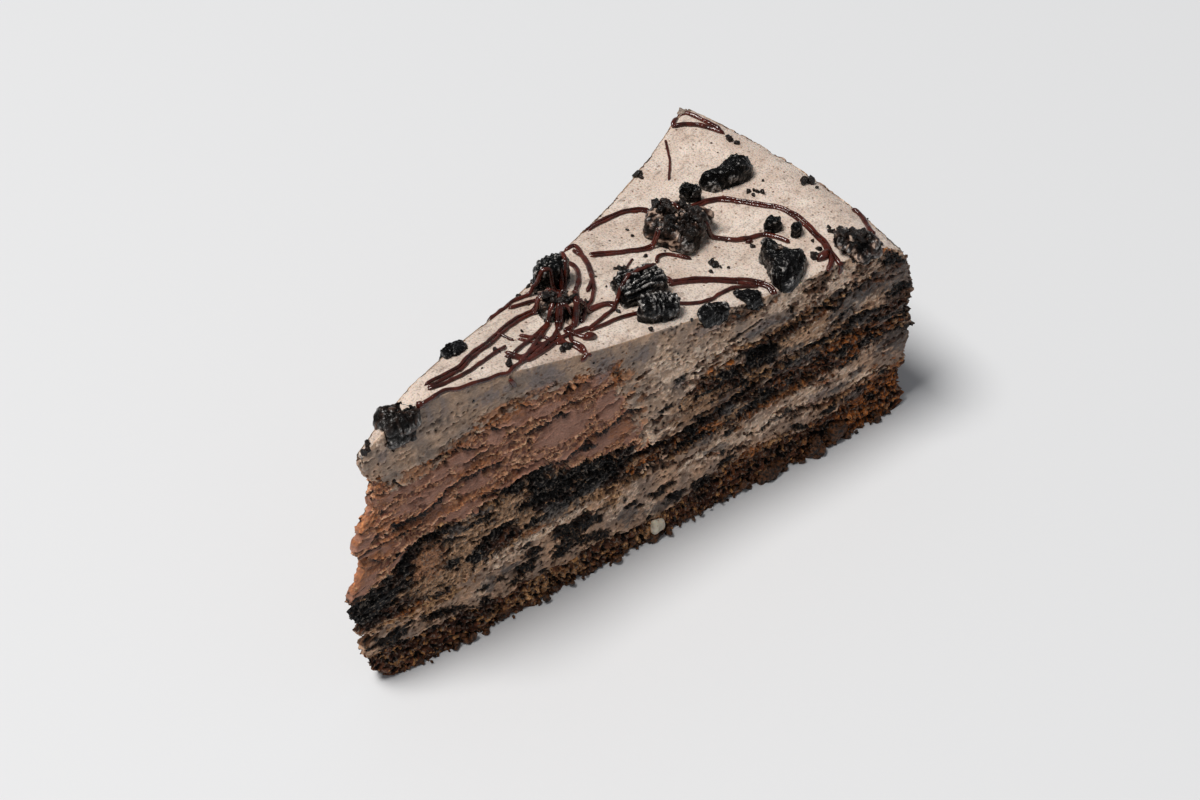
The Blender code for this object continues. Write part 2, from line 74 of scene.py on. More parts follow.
# The blunt tip: where it starts, how wide it is, how much it closes the angle, and how soon each fades.
TIP_START = 0.8
TIP_WIDTH = 1.8
TIP_WIDTH_FADE = 6.0
TIP_PINCH = math.radians(10.5)
TIP_PINCH_FADE = 38.0
TIP_REACH_FADE = 5.0

# Where the rim's bulge starts, the height of the far corner's lip, and how far that corner leans out above.
RIM_BULGE_START = 117.0
FAR_LIP = 3.8
FAR_LIP_START = 108.0
FAR_LEAN = 3.5
FAR_LEAN_HEIGHTS = (34.0, 46.0)

# How far the base spreads at the floor, and up to what height.
FOOT_SPREAD = 1.4
FOOT_HEIGHT = 6.0

# Where the layers that don't run the whole length begin and end. Each of them thins out to nothing there.
MOUSSE_END = 64.0
GREY_CREAM_START = 65.0
UPPER_SPONGE_START = 69.5
UPPER_SPONGE_END = 118.0

# Between the mousse and the upper sponge the top cream reaches down in a part of its own.
DEEP_CREAM = (54.5, 88.0)

# The grid of the walls: columns on the near cut, columns on the rim, and rows. The far cut has half as many
# columns. A layer that stops short of the tip or the rim has a blunt end, with few columns across it.
COLUMN = 0.27
RIM_COLUMN = 0.44
ROW = 0.29
BLUNT_COLUMNS = 8
TIP_COLUMNS = 6
# How far the tip's columns are spread along the noise, so that its teeth differ from one cut to the other.
TIP_VARIETY = 2.5

# How far a layer reaches past its seams, how far a corner is rounded, and where a thin end begins to sink.
OVERLAP = 1.5
CORNER = 2.0
THINNING = 1.0
# Rows of points rise no more than this per millimetre. Steeper ones would stretch the relief into streaks.
STEEPEST = 0.6
# Past a seam a wall sinks by so much for each millimetre and each square millimetre, and no deeper than this.
SEAM_SLOPE = 0.55
SEAM_CURVE = 0.35
DEEPEST = -3.0
# Heights that stand for no seam at all, far over and far under the slice.
NO_SEAM_ABOVE = 99.0
NO_SEAM_BELOW = -9.0

# The relief is calmer this near the tip, and this far down from the top edge.
TIP_CALM = 10.0
TOP_EDGE_CALM = 2.0
# The rounded top edge: how far down it reaches, and how far back it goes at the tip.
SHOULDER_HEIGHT = 2.2
TIP_SHOULDER = 1.4

# A crest stands out of its surroundings by half this height, and they reach this many points each way.
CREST_HEIGHT = 0.8
CREST_REACH = 3

# The soft edge of a patch, as a share of its size, and from where patches also go round the rim corner.
PATCH_EDGE = 0.25
RIM_PATCHES_START = 84.0

# The lip above a crack: its height as a share of the crack's depth, and how far up it reaches.
LIP_SHARE = 0.25
LIP_REACH = 0.9


def ease(low, high, value):
    """0 below low, 1 above high and smooth between them."""
    t = np.clip((value - low) / (high - low), 0, 1)
    return t * t * (3 - 2 * t)


def profile(*knots):
    """A function that eases through pairs of a place and a value."""
    places, values = np.array(knots, float).T
    slopes = np.gradient(values, places)

    def value_at(place):
        place = np.clip(place, places[0], places[-1])
        k = np.clip(np.searchsorted(places, place) - 1, 0, len(places) - 2)
        span = places[k + 1] - places[k]
        t = (place - places[k]) / span
        rise = t * t * (3 - 2 * t)
        start = t * (1 - t) ** 2 * span * slopes[k]
        end = t * t * (t - 1) * span * slopes[k + 1]
        return values[k] * (1 - rise) + values[k + 1] * rise + start + end

    return value_at


def broken_line(*knots):
    """A function that runs straight between pairs of a place and a value."""
    places, values = np.array(knots, float).T
    return lambda place: np.interp(place, places, values)


def scramble(x, y, seed):
    """A repeatable random number from 0 to 1 for each pair of whole numbers."""
    bits = (x.astype(np.int64) * 374761393 + y.astype(np.int64) * 668265263 + seed * 982451653) & 0xFFFFFFFF
    bits = ((bits ^ (bits >> 13)) * 1274126177) & 0xFFFFFFFF
    bits = ((bits ^ (bits >> 15)) * 1103515245) & 0xFFFFFFFF
    return ((bits ^ (bits >> 16)) & 0xFFFFFF) / 0xFFFFFF


def waves(x, y, seed):
    """Smooth noise from about -1 to 1 in the plane, with waves one unit long."""
    column, row = np.floor(x), np.floor(y)
    across, up = x - column, y - row
    share_x, share_y = across * across * (3 - 2 * across), up * up * (3 - 2 * up)
    total = 0.0
    for dx in (0, 1):
        for dy in (0, 1):
            angle = 2 * math.pi * scramble(column + dx, row + dy, seed)
            weight = (share_x if dx else 1 - share_x) * (share_y if dy else 1 - share_y)
            total = total + weight * (np.cos(angle) * (across - dx) + np.sin(angle) * (up - dy))
    return 1.6 * total


def uneven(seam, seed):
    """A seam's height with the small rises and dips of a torn edge."""
    def value_at(place):
        flat = place * 0 + 0.37
        rise = 0.7 * waves(place / 3.1, flat, seed) + 0.45 * waves(place / 1.2, flat, seed + 1)
        return seam(place) + rise + 0.3 * waves(place / 0.55, flat, seed + 2)
    return value_at


# Heights of the seams between the layers, by distance from the tip.
base_top = uneven(profile(
    (0, 8.2), (12, 6.8), (40, 4.8), (55, 4.8), (68, 3.8), (77, 7.2), (90, 8.6), (103, 6.4), (116, 9.4),
    (129, 12)
), 21)
lower_cream_top = uneven(profile(
    (0, 16), (14, 14.5), (28, 16), (40, 16.4), (52, 18.6), (72, 19.5), (84, 18.5), (104, 20), (116, 19.8),
    (129, 23)
), 31)
middle_sponge_top = uneven(profile(
    (0, 24.5), (7, 28.5), (15, 33), (23, 31.4), (37, 34.2), (47, 30.4), (56, 29), (61, 25.3), (72, 24.8),
    (86, 27), (104, 30), (112, 31), (129, 29)
), 41)
mousse_top = uneven(profile(
    (0, 53), (8, 47.5), (13, 46.8), (20, 50.5), (30, 52.6), (40, 53), (50, 51.6), (55, 48), (57.5, 41),
    (60, 36), (62, 31.5), (64, 25.4)
), 51)
grey_cream_top = uneven(profile(
    (65, 25.2), (67, 27), (72, 29), (80, 30.2), (91, 30.6), (99, 33.6), (110, 38), (118, 41), (123, 42),
    (129, 38)
), 61)
upper_sponge_top = uneven(profile(
    (69.5, 28.6), (72, 34.6), (76, 36.4), (84, 38), (91, 39.4), (99, 39.2), (108, 40.4), (118, 41.2)
), 71)
deep_cream_top = profile((54.5, 48.4), (57.5, 43), (62, 41.4), (72, 40.6), (80, 40), (88, 39))
dome = profile(
    (0, 58), (4, 61.6), (10, 64.2), (18, 64.9), (26, 63.7), (42, 59.5), (52, 57), (70, 53.4), (89, 49.6),
    (99, 48.4), (108, 48.2), (116, 47.2), (122, 45.6), (127, 43.2)
)

# How far the walls stand out of the plan at the rim and at the tip, by height. The tip is a row of teeth.
rim_bulge = broken_line(
    (0, -0.4), (2.5, 0.8), (5, 0.3), (9, 0.2), (10.6, 1.5), (12, 1.2), (15, 1.2), (17, 1.7), (19.4, 2),
    (20.2, 2.9), (22, 1.9), (26, 1.2), (29.4, 0.9), (30.8, 1.8), (32, 1), (36, 0.4), (40, -1), (43, -2.4),
    (46, -3)
)
tip_reach = broken_line(
    (0, -3.4), (1.6, -2.2), (2.8, -1.8), (3.4, 0.4), (5, 0.8), (6, -0.2), (7.4, -0.6), (8.2, 2.6),
    (9.6, 2.2), (11, 3.4), (12.4, 2.8), (13, 1), (14.6, 0.8), (15.6, 4), (16.6, 4.4), (17.8, 3),
    (18.5, 3.2), (20, 5), (22, 5.4), (23, 4), (24.2, 3.6), (24.8, 5.6), (26.4, 5.2), (27.7, 4.4),
    (28.6, 3), (30, 2.6), (31.5, 1.2), (32.6, 1.4), (34.2, -0.6), (35, 2.4), (37.4, 2.8), (39, 2.4),
    (40, 1), (41.6, 1.2), (43.2, -0.6), (44.6, -3), (47, -2.6), (51, -3.8), (53, -2.4), (56.5, -1),
    (60, -1.5)
)


def scattered(count, seed, places, levels, half_lengths, half_heights):
    """Small patches strewn at random between two distances and two heights."""
    dice = np.random.default_rng(seed)
    ranges = (places, levels, half_lengths, half_heights, (-0.25, 0.25))
    return tuple(tuple(dice.uniform(*limits) for limits in ranges) for _ in range(count))


# Patches on the near cut: distance from the tip, height, half length, half height, and rise per millimetre.
BLACK_PIECES = (
    (42, 26, 4, 1.6, -0.2), (91, 33, 3, 1.6, 0), (9, 38.4, 2.6, 0.4, 0),
    *scattered(6, 8, (66, 127), (24, 43), (3, 6), (0.25, 0.5)),
    *scattered(8, 12, (24, 62), (14, 34), (0.5, 1.8), (0.3, 0.7)),
    *scattered(30, 1, (66, 127), (10, 44), (0.6, 2.2), (0.3, 0.8)),
    *scattered(24, 2, (3, 66), (4, 16), (0.5, 1.6), (0.3, 0.9)), (45.4, 11.6, 3.4, 1.6, 0),
    (124, 33, 2.4, 1.6, 0), (2.4, 21.8, 5.6, 4, 0), (8.4, 27.6, 1.2, 2.4, 0.3),
    (10.6, 30.6, 2.4, 0.7, 0.6), (14, 31.4, 3.4, 0.9, -0.1), (18.6, 27.2, 2.6, 0.7, -0.25),
    (25, 28.7, 3.4, 1, 0), (29.8, 23.2, 3.6, 1.1, 0.15), (23.8, 20.2, 2.2, 1.8, 0),
    (18.6, 20.8, 1.5, 1.5, 0), (29.6, 33.6, 4.2, 0.7, -0.05), (32.6, 32.4, 2.4, 1.3, -0.3),
    (38.2, 33.2, 2.8, 1.1, 0), (39.6, 28.6, 4.4, 3.4, -0.3), (39.4, 25.3, 5.6, 0.7, 0),
    (37.4, 20.6, 2.6, 0.9, 0), (47.6, 27.8, 8, 2.2, -0.15), (52.4, 24, 5.4, 2, 0), (46.8, 22, 5, 1, 0.1),
    (60, 24.6, 6, 0.45, -0.02), (79, 25.2, 11, 0.9, 0.14), (73.4, 20.9, 3.6, 1, 0),
    (5.4, 10.4, 4, 1.8, 0), (16.2, 8.8, 5.8, 1.5, -0.32), (25, 6.5, 1.6, 1.5, 0),
    (34, 8.8, 3.6, 2.2, 0.3), (36.4, 12.5, 2.5, 1.5, 0), (43.6, 13.9, 3.4, 1.9, 0),
    (48.2, 13.6, 4, 2.1, -0.1), (43, 9, 2.8, 2, 0), (50, 8, 4.2, 1.7, -0.35), (67.4, 10.9, 3.3, 1.4, 0.2),
    (70.2, 7.2, 2.6, 1.4, 0), (76.6, 7, 3, 1.6, -0.15), (82.8, 9.6, 2.1, 1.4, 0.2),
    (90.4, 33.6, 4.4, 3, -0.3), (82, 33.2, 3, 1.6, -0.3), (102, 29.6, 6.6, 0.7, 0),
    (116.4, 31, 4.6, 0.6, -0.25), (109.6, 33.4, 2.4, 0.9, 0.45), (108.6, 36.6, 1.3, 1, 0),
    (114, 39, 5, 0.5, 0.25), (122.8, 42.4, 3.4, 2, -0.2), (117.4, 23.4, 2, 1.5, 0),
    (111.4, 23.6, 1.8, 1.3, 0), (91.5, 22.8, 3, 1.6, 0), (97.6, 23, 1.2, 1.4, 0), (126, 21, 4, 0.6, -0.3),
    (108.4, 3.2, 2.4, 2, 0), (101.2, 8, 2.6, 0.8, -0.6), (108.6, 8.6, 2, 1, 0), (117, 10.2, 1.8, 0.8, 0),
    (120, 5.6, 1.6, 1, 0),
)
UMBER_PATCHES = (
    *scattered(10, 9, (62, 127), (20, 45), (3, 7), (0.25, 0.55)),
    *scattered(4, 10, (64, 127), (8, 19), (3, 6), (0.25, 0.5)),
    *scattered(34, 3, (62, 127), (8, 46), (0.8, 3), (0.3, 0.9)), (124.6, 31, 3, 2.4, 0),
    (4.5, 17.2, 5.4, 1.7, 0), (29.6, 20.4, 3.4, 1.9, 0.1), (76.4, 34, 2.6, 2.2, 0),
    (82.6, 30.6, 3, 1.6, -0.3), (64, 18.9, 8, 0.8, 0), (97, 37.6, 10, 1.7, 0), (105, 22.4, 10, 1.8, 0),
    (104, 45.4, 2.6, 3.6, 0.2), (114.6, 43.6, 2.4, 2.2, 0.3), (86, 47.6, 6, 1.6, -0.1),
    (101, 12.6, 3.4, 1.4, 0), (108, 10.6, 4, 1.4, 0), (90, 5.4, 8, 1.2, 0), (0, 13, 2.6, 1.8, 0),
    (41, 34, 3, 1, -0.3), (95, 25.4, 7, 1.3, 0), (123.6, 28.4, 4, 0.9, 0), (102, 3, 6, 1.6, 0),
    (79, 50.4, 3, 1, 0),
)
DUSKY_PATCHES = (
    *scattered(16, 4, (66, 127), (12, 42), (1, 3.4), (0.4, 1.1)), (112, 33.4, 3, 1.6, 0),
    (26.2, 10.2, 1.5, 2, 0), (58.6, 9.2, 2.2, 2.7, 0), (68, 6.8, 4.6, 1.6, 0), (93, 31.6, 1.5, 1.4, 0),
    (101, 26.8, 5, 1.7, 0.05), (113.4, 37, 6, 2.4, 0.3), (123.6, 37, 4.4, 5.2, -0.3),
    (124.2, 18.6, 4.4, 3.4, -0.3), (116.6, 28.9, 3.6, 1.2, 0), (42, 20.6, 4, 2.2, 0),
    (115, 8.8, 3.4, 1.3, 0), (50, 21.8, 3, 1.2, 0), (31, 11.6, 2, 1, 0), (20, 29.4, 2.2, 1.4, 0),
    (25, 30.8, 2.8, 0.8, 0), (88, 21.4, 3, 1, 0),
)
FAINT_SMUDGES = (
    (27.6, 58.8, 2.4, 1.4, 0), (31.6, 59, 1, 1, 0), (61.3, 50, 1.6, 1.5, 0), (5.4, 57, 0.9, 1.4, 0),
    (53, 52, 2.4, 2.4, 0), (90, 42, 4, 1, 0), (70, 37.6, 1.6, 1.2, 0), (40, 56, 4, 2, 0),
    (105, 14, 2.6, 1.6, 0), (77, 48.6, 4, 1.6, 0),
)
LIGHT_PATCHES = (
    *scattered(20, 5, (62, 120), (10, 42), (1, 3), (0.3, 0.8)), (35.6, 17, 8.4, 1.3, 0.06),
    (72, 42, 6, 3.4, 0), (66.5, 46, 3, 3.6, 0), (82, 39.6, 3, 3, -0.2), (109, 43.6, 6, 2.4, 0.1),
    (95, 45.6, 5, 2, 0), (92, 14.4, 9, 2.6, 0), (105, 16.6, 5, 1.6, 0), (116, 13.4, 4, 1.6, -0.2),
    (57, 13.4, 3, 3, 0.3), (65, 27.4, 4.6, 2, 0), (24, 9.4, 1.6, 2, 0), (73.4, 36.2, 1.6, 1.6, 0),
    (101, 33, 6, 1.8, 0), (31, 14.6, 4, 1, 0), (6.4, 61, 2, 2.6, 0), (115, 34, 5, 1.6, -0.2),
    (81, 15, 4, 2, 0), (46, 17.2, 6, 0.8, 0), (64, 8, 1.4, 2.6, 0), (78, 14, 6, 2, 0.05),
)
PALE_PATCHES = (
    (76.4, 28.2, 3.4, 1.1, 0.1), (30, 27, 3.4, 1.6, 0.1),
    *scattered(16, 6, (4, 62), (16, 33), (0.6, 2.2), (0.3, 0.8)), (22, 26.4, 5, 4, 0.08),
    (15, 18.6, 6, 2.6, 0), (31, 28, 4, 3, 0), (34.6, 23.4, 2.4, 2.4, 0.3), (21, 17, 3.4, 2, 0),
    (29, 25.6, 4, 1, 0), (44, 19.4, 7, 0.9, 0.1), (21, 22.6, 2.6, 2.4, 0), (44, 30.8, 3, 1, 0),
    (62, 22, 3, 1, 0), (100, 33.4, 6.5, 2, 0), (116, 32.6, 5, 1.3, 0.1), (85, 22, 6, 0.8, 0.1),
    (72, 31.6, 3, 1.4, 0), (77, 30.8, 3, 1, 0),
)
MOUSSE_PATCHES = (
    (14, 24.4, 3, 4.6, 0), (52, 31.6, 7, 1.6, 0.05), (60.4, 35.4, 1.8, 1.4, 0), (58.6, 41.4, 2, 1.2, 0.3),
    (57.6, 46.6, 2, 1.4, 0), (61.6, 39, 1.4, 0.8, 0), (55.4, 51, 1.4, 1.2, 0), (12, 49, 5, 1.8, 0),
    (30, 54.2, 5, 1.2, 0), (22, 51.8, 3, 1, 0), (38, 54.2, 4, 1, 0), (61, 32.4, 2, 1, 0),
)
CREAM_SMEARS = (
    (57, 44, 1.8, 2, 0), (59.4, 38.6, 1.8, 1.6, 0.4), (61, 34, 1.6, 2, 0), (55, 48.4, 1.4, 1.6, 0),
    (53, 51.2, 2, 1, 0), (26, 51.8, 2, 0.7, 0), (17, 49.6, 2, 0.6, 0), (62.6, 29, 1.2, 2.2, 0),
    (9, 47.6, 3, 0.6, 0),
)
CARAMEL_STREAKS = (
    (41, 2.6, 7, 1.2, 0), (29, 2, 4, 0.7, 0), (62, 2, 4, 0.8, 0), (14, 13.4, 7, 1.4, 0),
    (33, 18.6, 6, 0.5, 0.05), (54, 18.6, 4.6, 1.1, 0), (73.4, 18.9, 4.6, 0.9, 0), (20, 33.8, 9, 0.9, 0),
    (40, 35.4, 8, 1.1, -0.1), (89, 28.6, 5, 1.5, -0.1), (78.6, 36, 3, 0.9, 0), (4, 14.6, 3, 1, 0),
    (55, 15.6, 2.4, 2, 0), (96, 38.4, 10, 1, 0.03), (106, 28, 8, 1, 0), (86, 38.6, 4, 0.8, -0.2),
    (97, 19.6, 5, 1, 0), (93, 7.6, 5, 1, 0), (112, 10, 3, 1, 0), (27, 31.4, 3, 0.8, -0.3),
    (61, 17.8, 2, 0.8, 0),
)
# Orange-brown patches of crumb. The ones at the very tip, high in the thin mousse, are painted glow: the
# orange of light that shines through the tip.
RUST_AND_GLOW_PATCHES = (
    (62, 21.6, 4, 1.2, 0), (75, 21.6, 5, 1, 0), (96, 24.4, 4, 1, 0),
    *scattered(18, 7, (66, 127), (8, 40), (0.8, 2.4), (0.3, 0.8)), (95, 19.4, 8, 0.9, 0.05),
    (110, 25.6, 8, 1.6, 0.1), (120.6, 27, 3, 2, -0.2), (104.4, 23.4, 2.6, 1.6, 0),
    (114, 21.6, 2.4, 1.6, 0), (121, 23.4, 4, 1.2, -0.2), (119.4, 5.8, 8, 6, 0.1), (89, 8.4, 3.4, 1.4, 0),
    (84, 5.6, 3, 1.2, 0), (3.2, 48.2, 1.5, 3.4, 0), (0.4, 42.4, 2.8, 2.6, 0), (6, 40, 2.4, 1.2, 0),
    (1.6, 32, 4, 3, 0.2), (51, 35.4, 3.4, 1, 0.1), (-2, 14.4, 2, 3, 0), (19, 50.2, 4, 0.9, 0),
    (47.4, 51, 3, 2, 0), (55.2, 48.6, 1.6, 2.6, 0), (30, 51.6, 3.6, 1.2, -0.2), (46, 49.4, 4, 0.9, 0),
    (35, 51.4, 1.8, 2, 0), (12, 36.4, 6, 0.8, 0), (24, 43, 5, 1, 0), (121, 45.4, 3.4, 0.8, -0.35),
    (8.4, 14.6, 3, 0.8, 0), (23, 35.6, 8, 1, 0), (57, 33.4, 3, 2, 0), (37, 18.4, 3, 0.7, 0),
)
SMOOTH_PATCHES = (
    (44, 41.6, 6, 3.8, 0), (54, 41.6, 3, 3.4, 0), (12, 41.8, 4, 2, 0.05), (1.8, 38.4, 2, 1.2, 0),
    (9, 46.6, 2, 1.6, -0.3), (29, 47.8, 2, 2.2, 0), (40, 48.6, 3.4, 1.6, 0), (34.6, 48.8, 1.8, 1.2, 0),
    (24, 38.6, 3.4, 1.4, 0), (1, 27.8, 3.2, 2, 0.2), (14.4, 25, 2.6, 3.6, 0), (53, 32.4, 6, 1.6, 0.1),
    (17, 45.6, 2, 1.6, 0), (21, 47.4, 2, 1.2, 0),
)

# The masks of the walls: each one's patches, the seed of its torn edges, and how ragged they are.
MASKS = {
    "black": (BLACK_PIECES, 101, 0.5),
    "umber": (UMBER_PATCHES, 106, 0.9),
    "dusky": (DUSKY_PATCHES, 111, 0.6),
    "smudge": (FAINT_SMUDGES, 121, 0.7),
    "light": (LIGHT_PATCHES, 126, 0.8),
    "pale": (PALE_PATCHES, 131, 0.7),
    "mousse": (MOUSSE_PATCHES, 141, 0.6),
    "caramel": (CARAMEL_STREAKS, 151, 0.8),
    "rust_and_glow": (RUST_AND_GLOW_PATCHES, 161, 0.8),
}

# Torn lips on the near cut: depth, reach, and route. Below each route the cut falls back by its depth, and
# comes out again over its reach.
CRACKS = (
    (2.0, 1.8, ((6.8, 39.6), (8, 38.6), (11, 38.2), (14, 38.6), (15.2, 39.4), (17, 40), (18.5, 41.6))),
    (1.7, 1.3, ((18, 41.4), (21, 41.8), (24, 41.4), (26, 42.1), (27.5, 41.4), (31, 41.2))),
    (1.3, 1.2, ((22, 45.4), (25, 45.8), (28.5, 46.2))),
    (1.8, 1.2, (
        (35.5, 45.1), (37.5, 45.4), (39, 44.9), (41, 45.2), (42, 46), (43.5, 45.6), (45.4, 44.4),
    )),
    (1.4, 1.0, ((15.5, 50.4), (19, 49.9), (21, 50.1), (23, 48.6), (25.6, 47.5))),
    (1.2, 1.0, ((28, 50.6), (30, 49.7), (32.6, 49))),
    (1.0, 1.0, ((26.8, 52.4), (28.6, 51.2), (30, 51.8))),
    (1.2, 1.0, ((34.6, 53), (36, 52), (37.4, 51.2))),
    (1.3, 1.0, ((6.6, 49.4), (8, 48.3), (9.6, 47.2))),
    (0.9, 0.9, ((31.4, 46.2), (34, 46.5), (36.2, 47))),
    (1.2, 1.2, ((1, 35.8), (5, 36), (10, 35.4), (13, 35.8))),
    (1.0, 1.0, ((2, 33.2), (4, 31.9), (7.4, 32.3))),
    (1.0, 0.9, ((10.4, 42.3), (12, 42.8), (13.6, 42))),
    (0.8, 0.8, ((13, 44.4), (15, 43.8))),
    (1.0, 0.9, ((31, 39.2), (33.4, 38.8), (36, 39.4))),
    (1.0, 0.9, ((30, 36.4), (33, 36.8), (36, 35.8), (39, 36.6))),
    (1.3, 1.0, ((41.8, 47), (44.4, 47.3), (46.6, 46.4), (48.8, 47))),
    (1.3, 0.9, ((43.6, 50.4), (46, 49.9), (48, 50.4), (50, 49.5))),
    (1.5, 0.9, ((52.4, 46.6), (54, 46.2), (55.6, 46.9), (56.8, 47.6))),
    (1.0, 0.8, ((50.8, 41), (53.4, 41.5), (56.6, 41.9))),
    (1.9, 1.4, (
        (42.6, 33), (45.6, 33.7), (48.4, 35.2), (51, 36.5), (53.4, 35), (55, 36.5), (58.6, 37.6),
        (62, 36.4),
    )),
    (1.2, 1.2, ((61.8, 30.6), (64, 31.9), (66, 31.6), (67.8, 31))),
    (1.1, 0.9, ((62.8, 38.6), (64.6, 38.8), (66.6, 39.7))),
    (0.8, 0.8, ((69.6, 36.4), (71.6, 37.4), (74, 37.2))),
    (0.9, 0.8, ((73, 13.5), (75.2, 14.4), (77.4, 13.4))),
    (0.9, 0.7, ((104.6, 40.5), (107, 40.8), (109, 41.4), (111, 40.8), (113.2, 40.9))),
    (0.9, 1.0, ((112, 38.8), (116, 40.2), (119, 40.6))),
    (1.8, 1.0, ((96, 29.8), (100, 30.5), (104, 29.9), (108.4, 30.3))),
    (1.5, 0.9, ((111.5, 32.2), (114, 31.3), (118, 30.7), (121, 29.6))),
    (1.6, 1.2, ((119, 23), (123, 22), (127, 20.6), (130, 20))),
    (2.0, 1.2, ((45, 26.8), (51, 26.2), (57, 25.6), (62, 25), (67, 24.6), (72, 25))),
    (1.6, 1.0, ((57, 19.8), (61, 18.9), (66, 19), (70, 19.8))),
    (2.2, 1.6, ((8, 28.6), (10, 31), (13, 32.2), (16.6, 31.6))),
    (1.6, 1.1, ((26, 34.4), (30, 33.6), (34, 34.6), (40, 34.2))),
    (2.0, 1.2, ((33.5, 26.4), (38, 26.4), (44, 27.4))),
    (1.8, 1.2, ((72, 25.4), (78, 25.2), (84, 26.8), (90, 27.6))),
    (1.4, 1.0, ((86, 22.4), (91, 21.6), (97, 21.4), (104, 22.6))),
    (1.5, 1.1, ((17, 28.2), (19.4, 27.8), (21.4, 26.8))),
    (1.4, 1.0, ((24.6, 22.8), (27.6, 24.2), (31, 24.4), (33, 23.6))),
    (1.2, 0.9, ((11, 11), (14, 10.2), (18, 8.8), (21.6, 7.4))),
    (1.3, 0.9, ((41.4, 15.6), (45, 15.2), (50, 15.8))),
    (1.3, 0.9, ((64.4, 11.6), (67, 12.2), (70.4, 12.5))),
    (2.2, 1.6, ((86.6, 36.6), (90, 36.4), (94.6, 34.6))),
    (1.3, 1.0, ((98, 14.2), (101, 13.2), (104, 12), (107, 11))),
    (1.3, 1.0, ((84, 38.8), (88, 38), (93, 38.6), (99, 38.4), (105, 39.6))),
)


def mixed_waves(x, y, *kinds):
    """Waves of several kinds on one another. Each has its strength, its length, its height and its seed."""
    total = 0.0
    for strength, length, height, seed in kinds:
        total = total + strength * waves(x / length, y / height, seed)
    return total


def clouds(x, y, seed):
    """Three sizes of waves on one another."""
    return mixed_waves(x, y, (0.6, 1, 1, seed), (0.3, 0.5, 0.5, seed + 1), (0.15, 0.25, 0.25, seed + 2))


def grains(x, y, seed):
    """Scattered grains, one a unit: the distance to the nearest one's middle, and its random number."""
    column, row = np.floor(x), np.floor(y)
    nearest = np.full(np.shape(x), 9.0)
    number = np.zeros(np.shape(x))
    for dx in (-1, 0, 1):
        for dy in (-1, 0, 1):
            i, j = column + dx, row + dy
            middle_x = i + 0.1 + 0.8 * scramble(i, j, seed)
            middle_y = j + 0.1 + 0.8 * scramble(i, j, seed + 1)
            away = (x - middle_x) ** 2 + (y - middle_y) ** 2
            closer = away < nearest
            nearest = np.where(closer, away, nearest)
            number = np.where(closer, scramble(i, j, seed + 2), number)
    return np.sqrt(nearest), number


def opening_angle(distance):
    """The angle between the cuts, which closes towards the tip."""
    return CUT_ANGLE - TIP_PINCH * np.exp(-distance / TIP_PINCH_FADE)


def plan_point(distance, share, height):
    """Where a place lies in plan. Its share of the way is -1 at the near cut and 1 at the far cut."""
    way = (share + 1) / 2
    angle = way * opening_angle(distance) - CUT_ANGLE / 2
    lean = FAR_LEAN * way * ease(*FAR_LEAN_HEIGHTS, height)
    radius = distance + (rim_bulge(height) + lean) * ease(RIM_BULGE_START, CUT_LENGTH, distance)
    reach = tip_reach(height) * np.exp(-distance / TIP_REACH_FADE)
    width = TIP_WIDTH * np.exp(-distance / TIP_WIDTH_FADE)
    return TIP_X + radius * np.cos(angle) - reach, TIP_Y + radius * np.sin(angle) + way * width


def top_height(distance, share):
    """The top cream's surface, with the higher lip at its far corner."""
    return dome(distance) + FAR_LIP * ease(FAR_LIP_START, CUT_LENGTH, distance) * (share + 1) / 2


def height_above(along, across):
    """The top cream's height at a place in millimetres along and across from the sharp tip."""
    distance = np.hypot(along, across)
    way = (np.arctan2(across, along) + CUT_ANGLE / 2) / opening_angle(distance)
    return top_height(distance, 2 * np.clip(way, 0, 1) - 1)


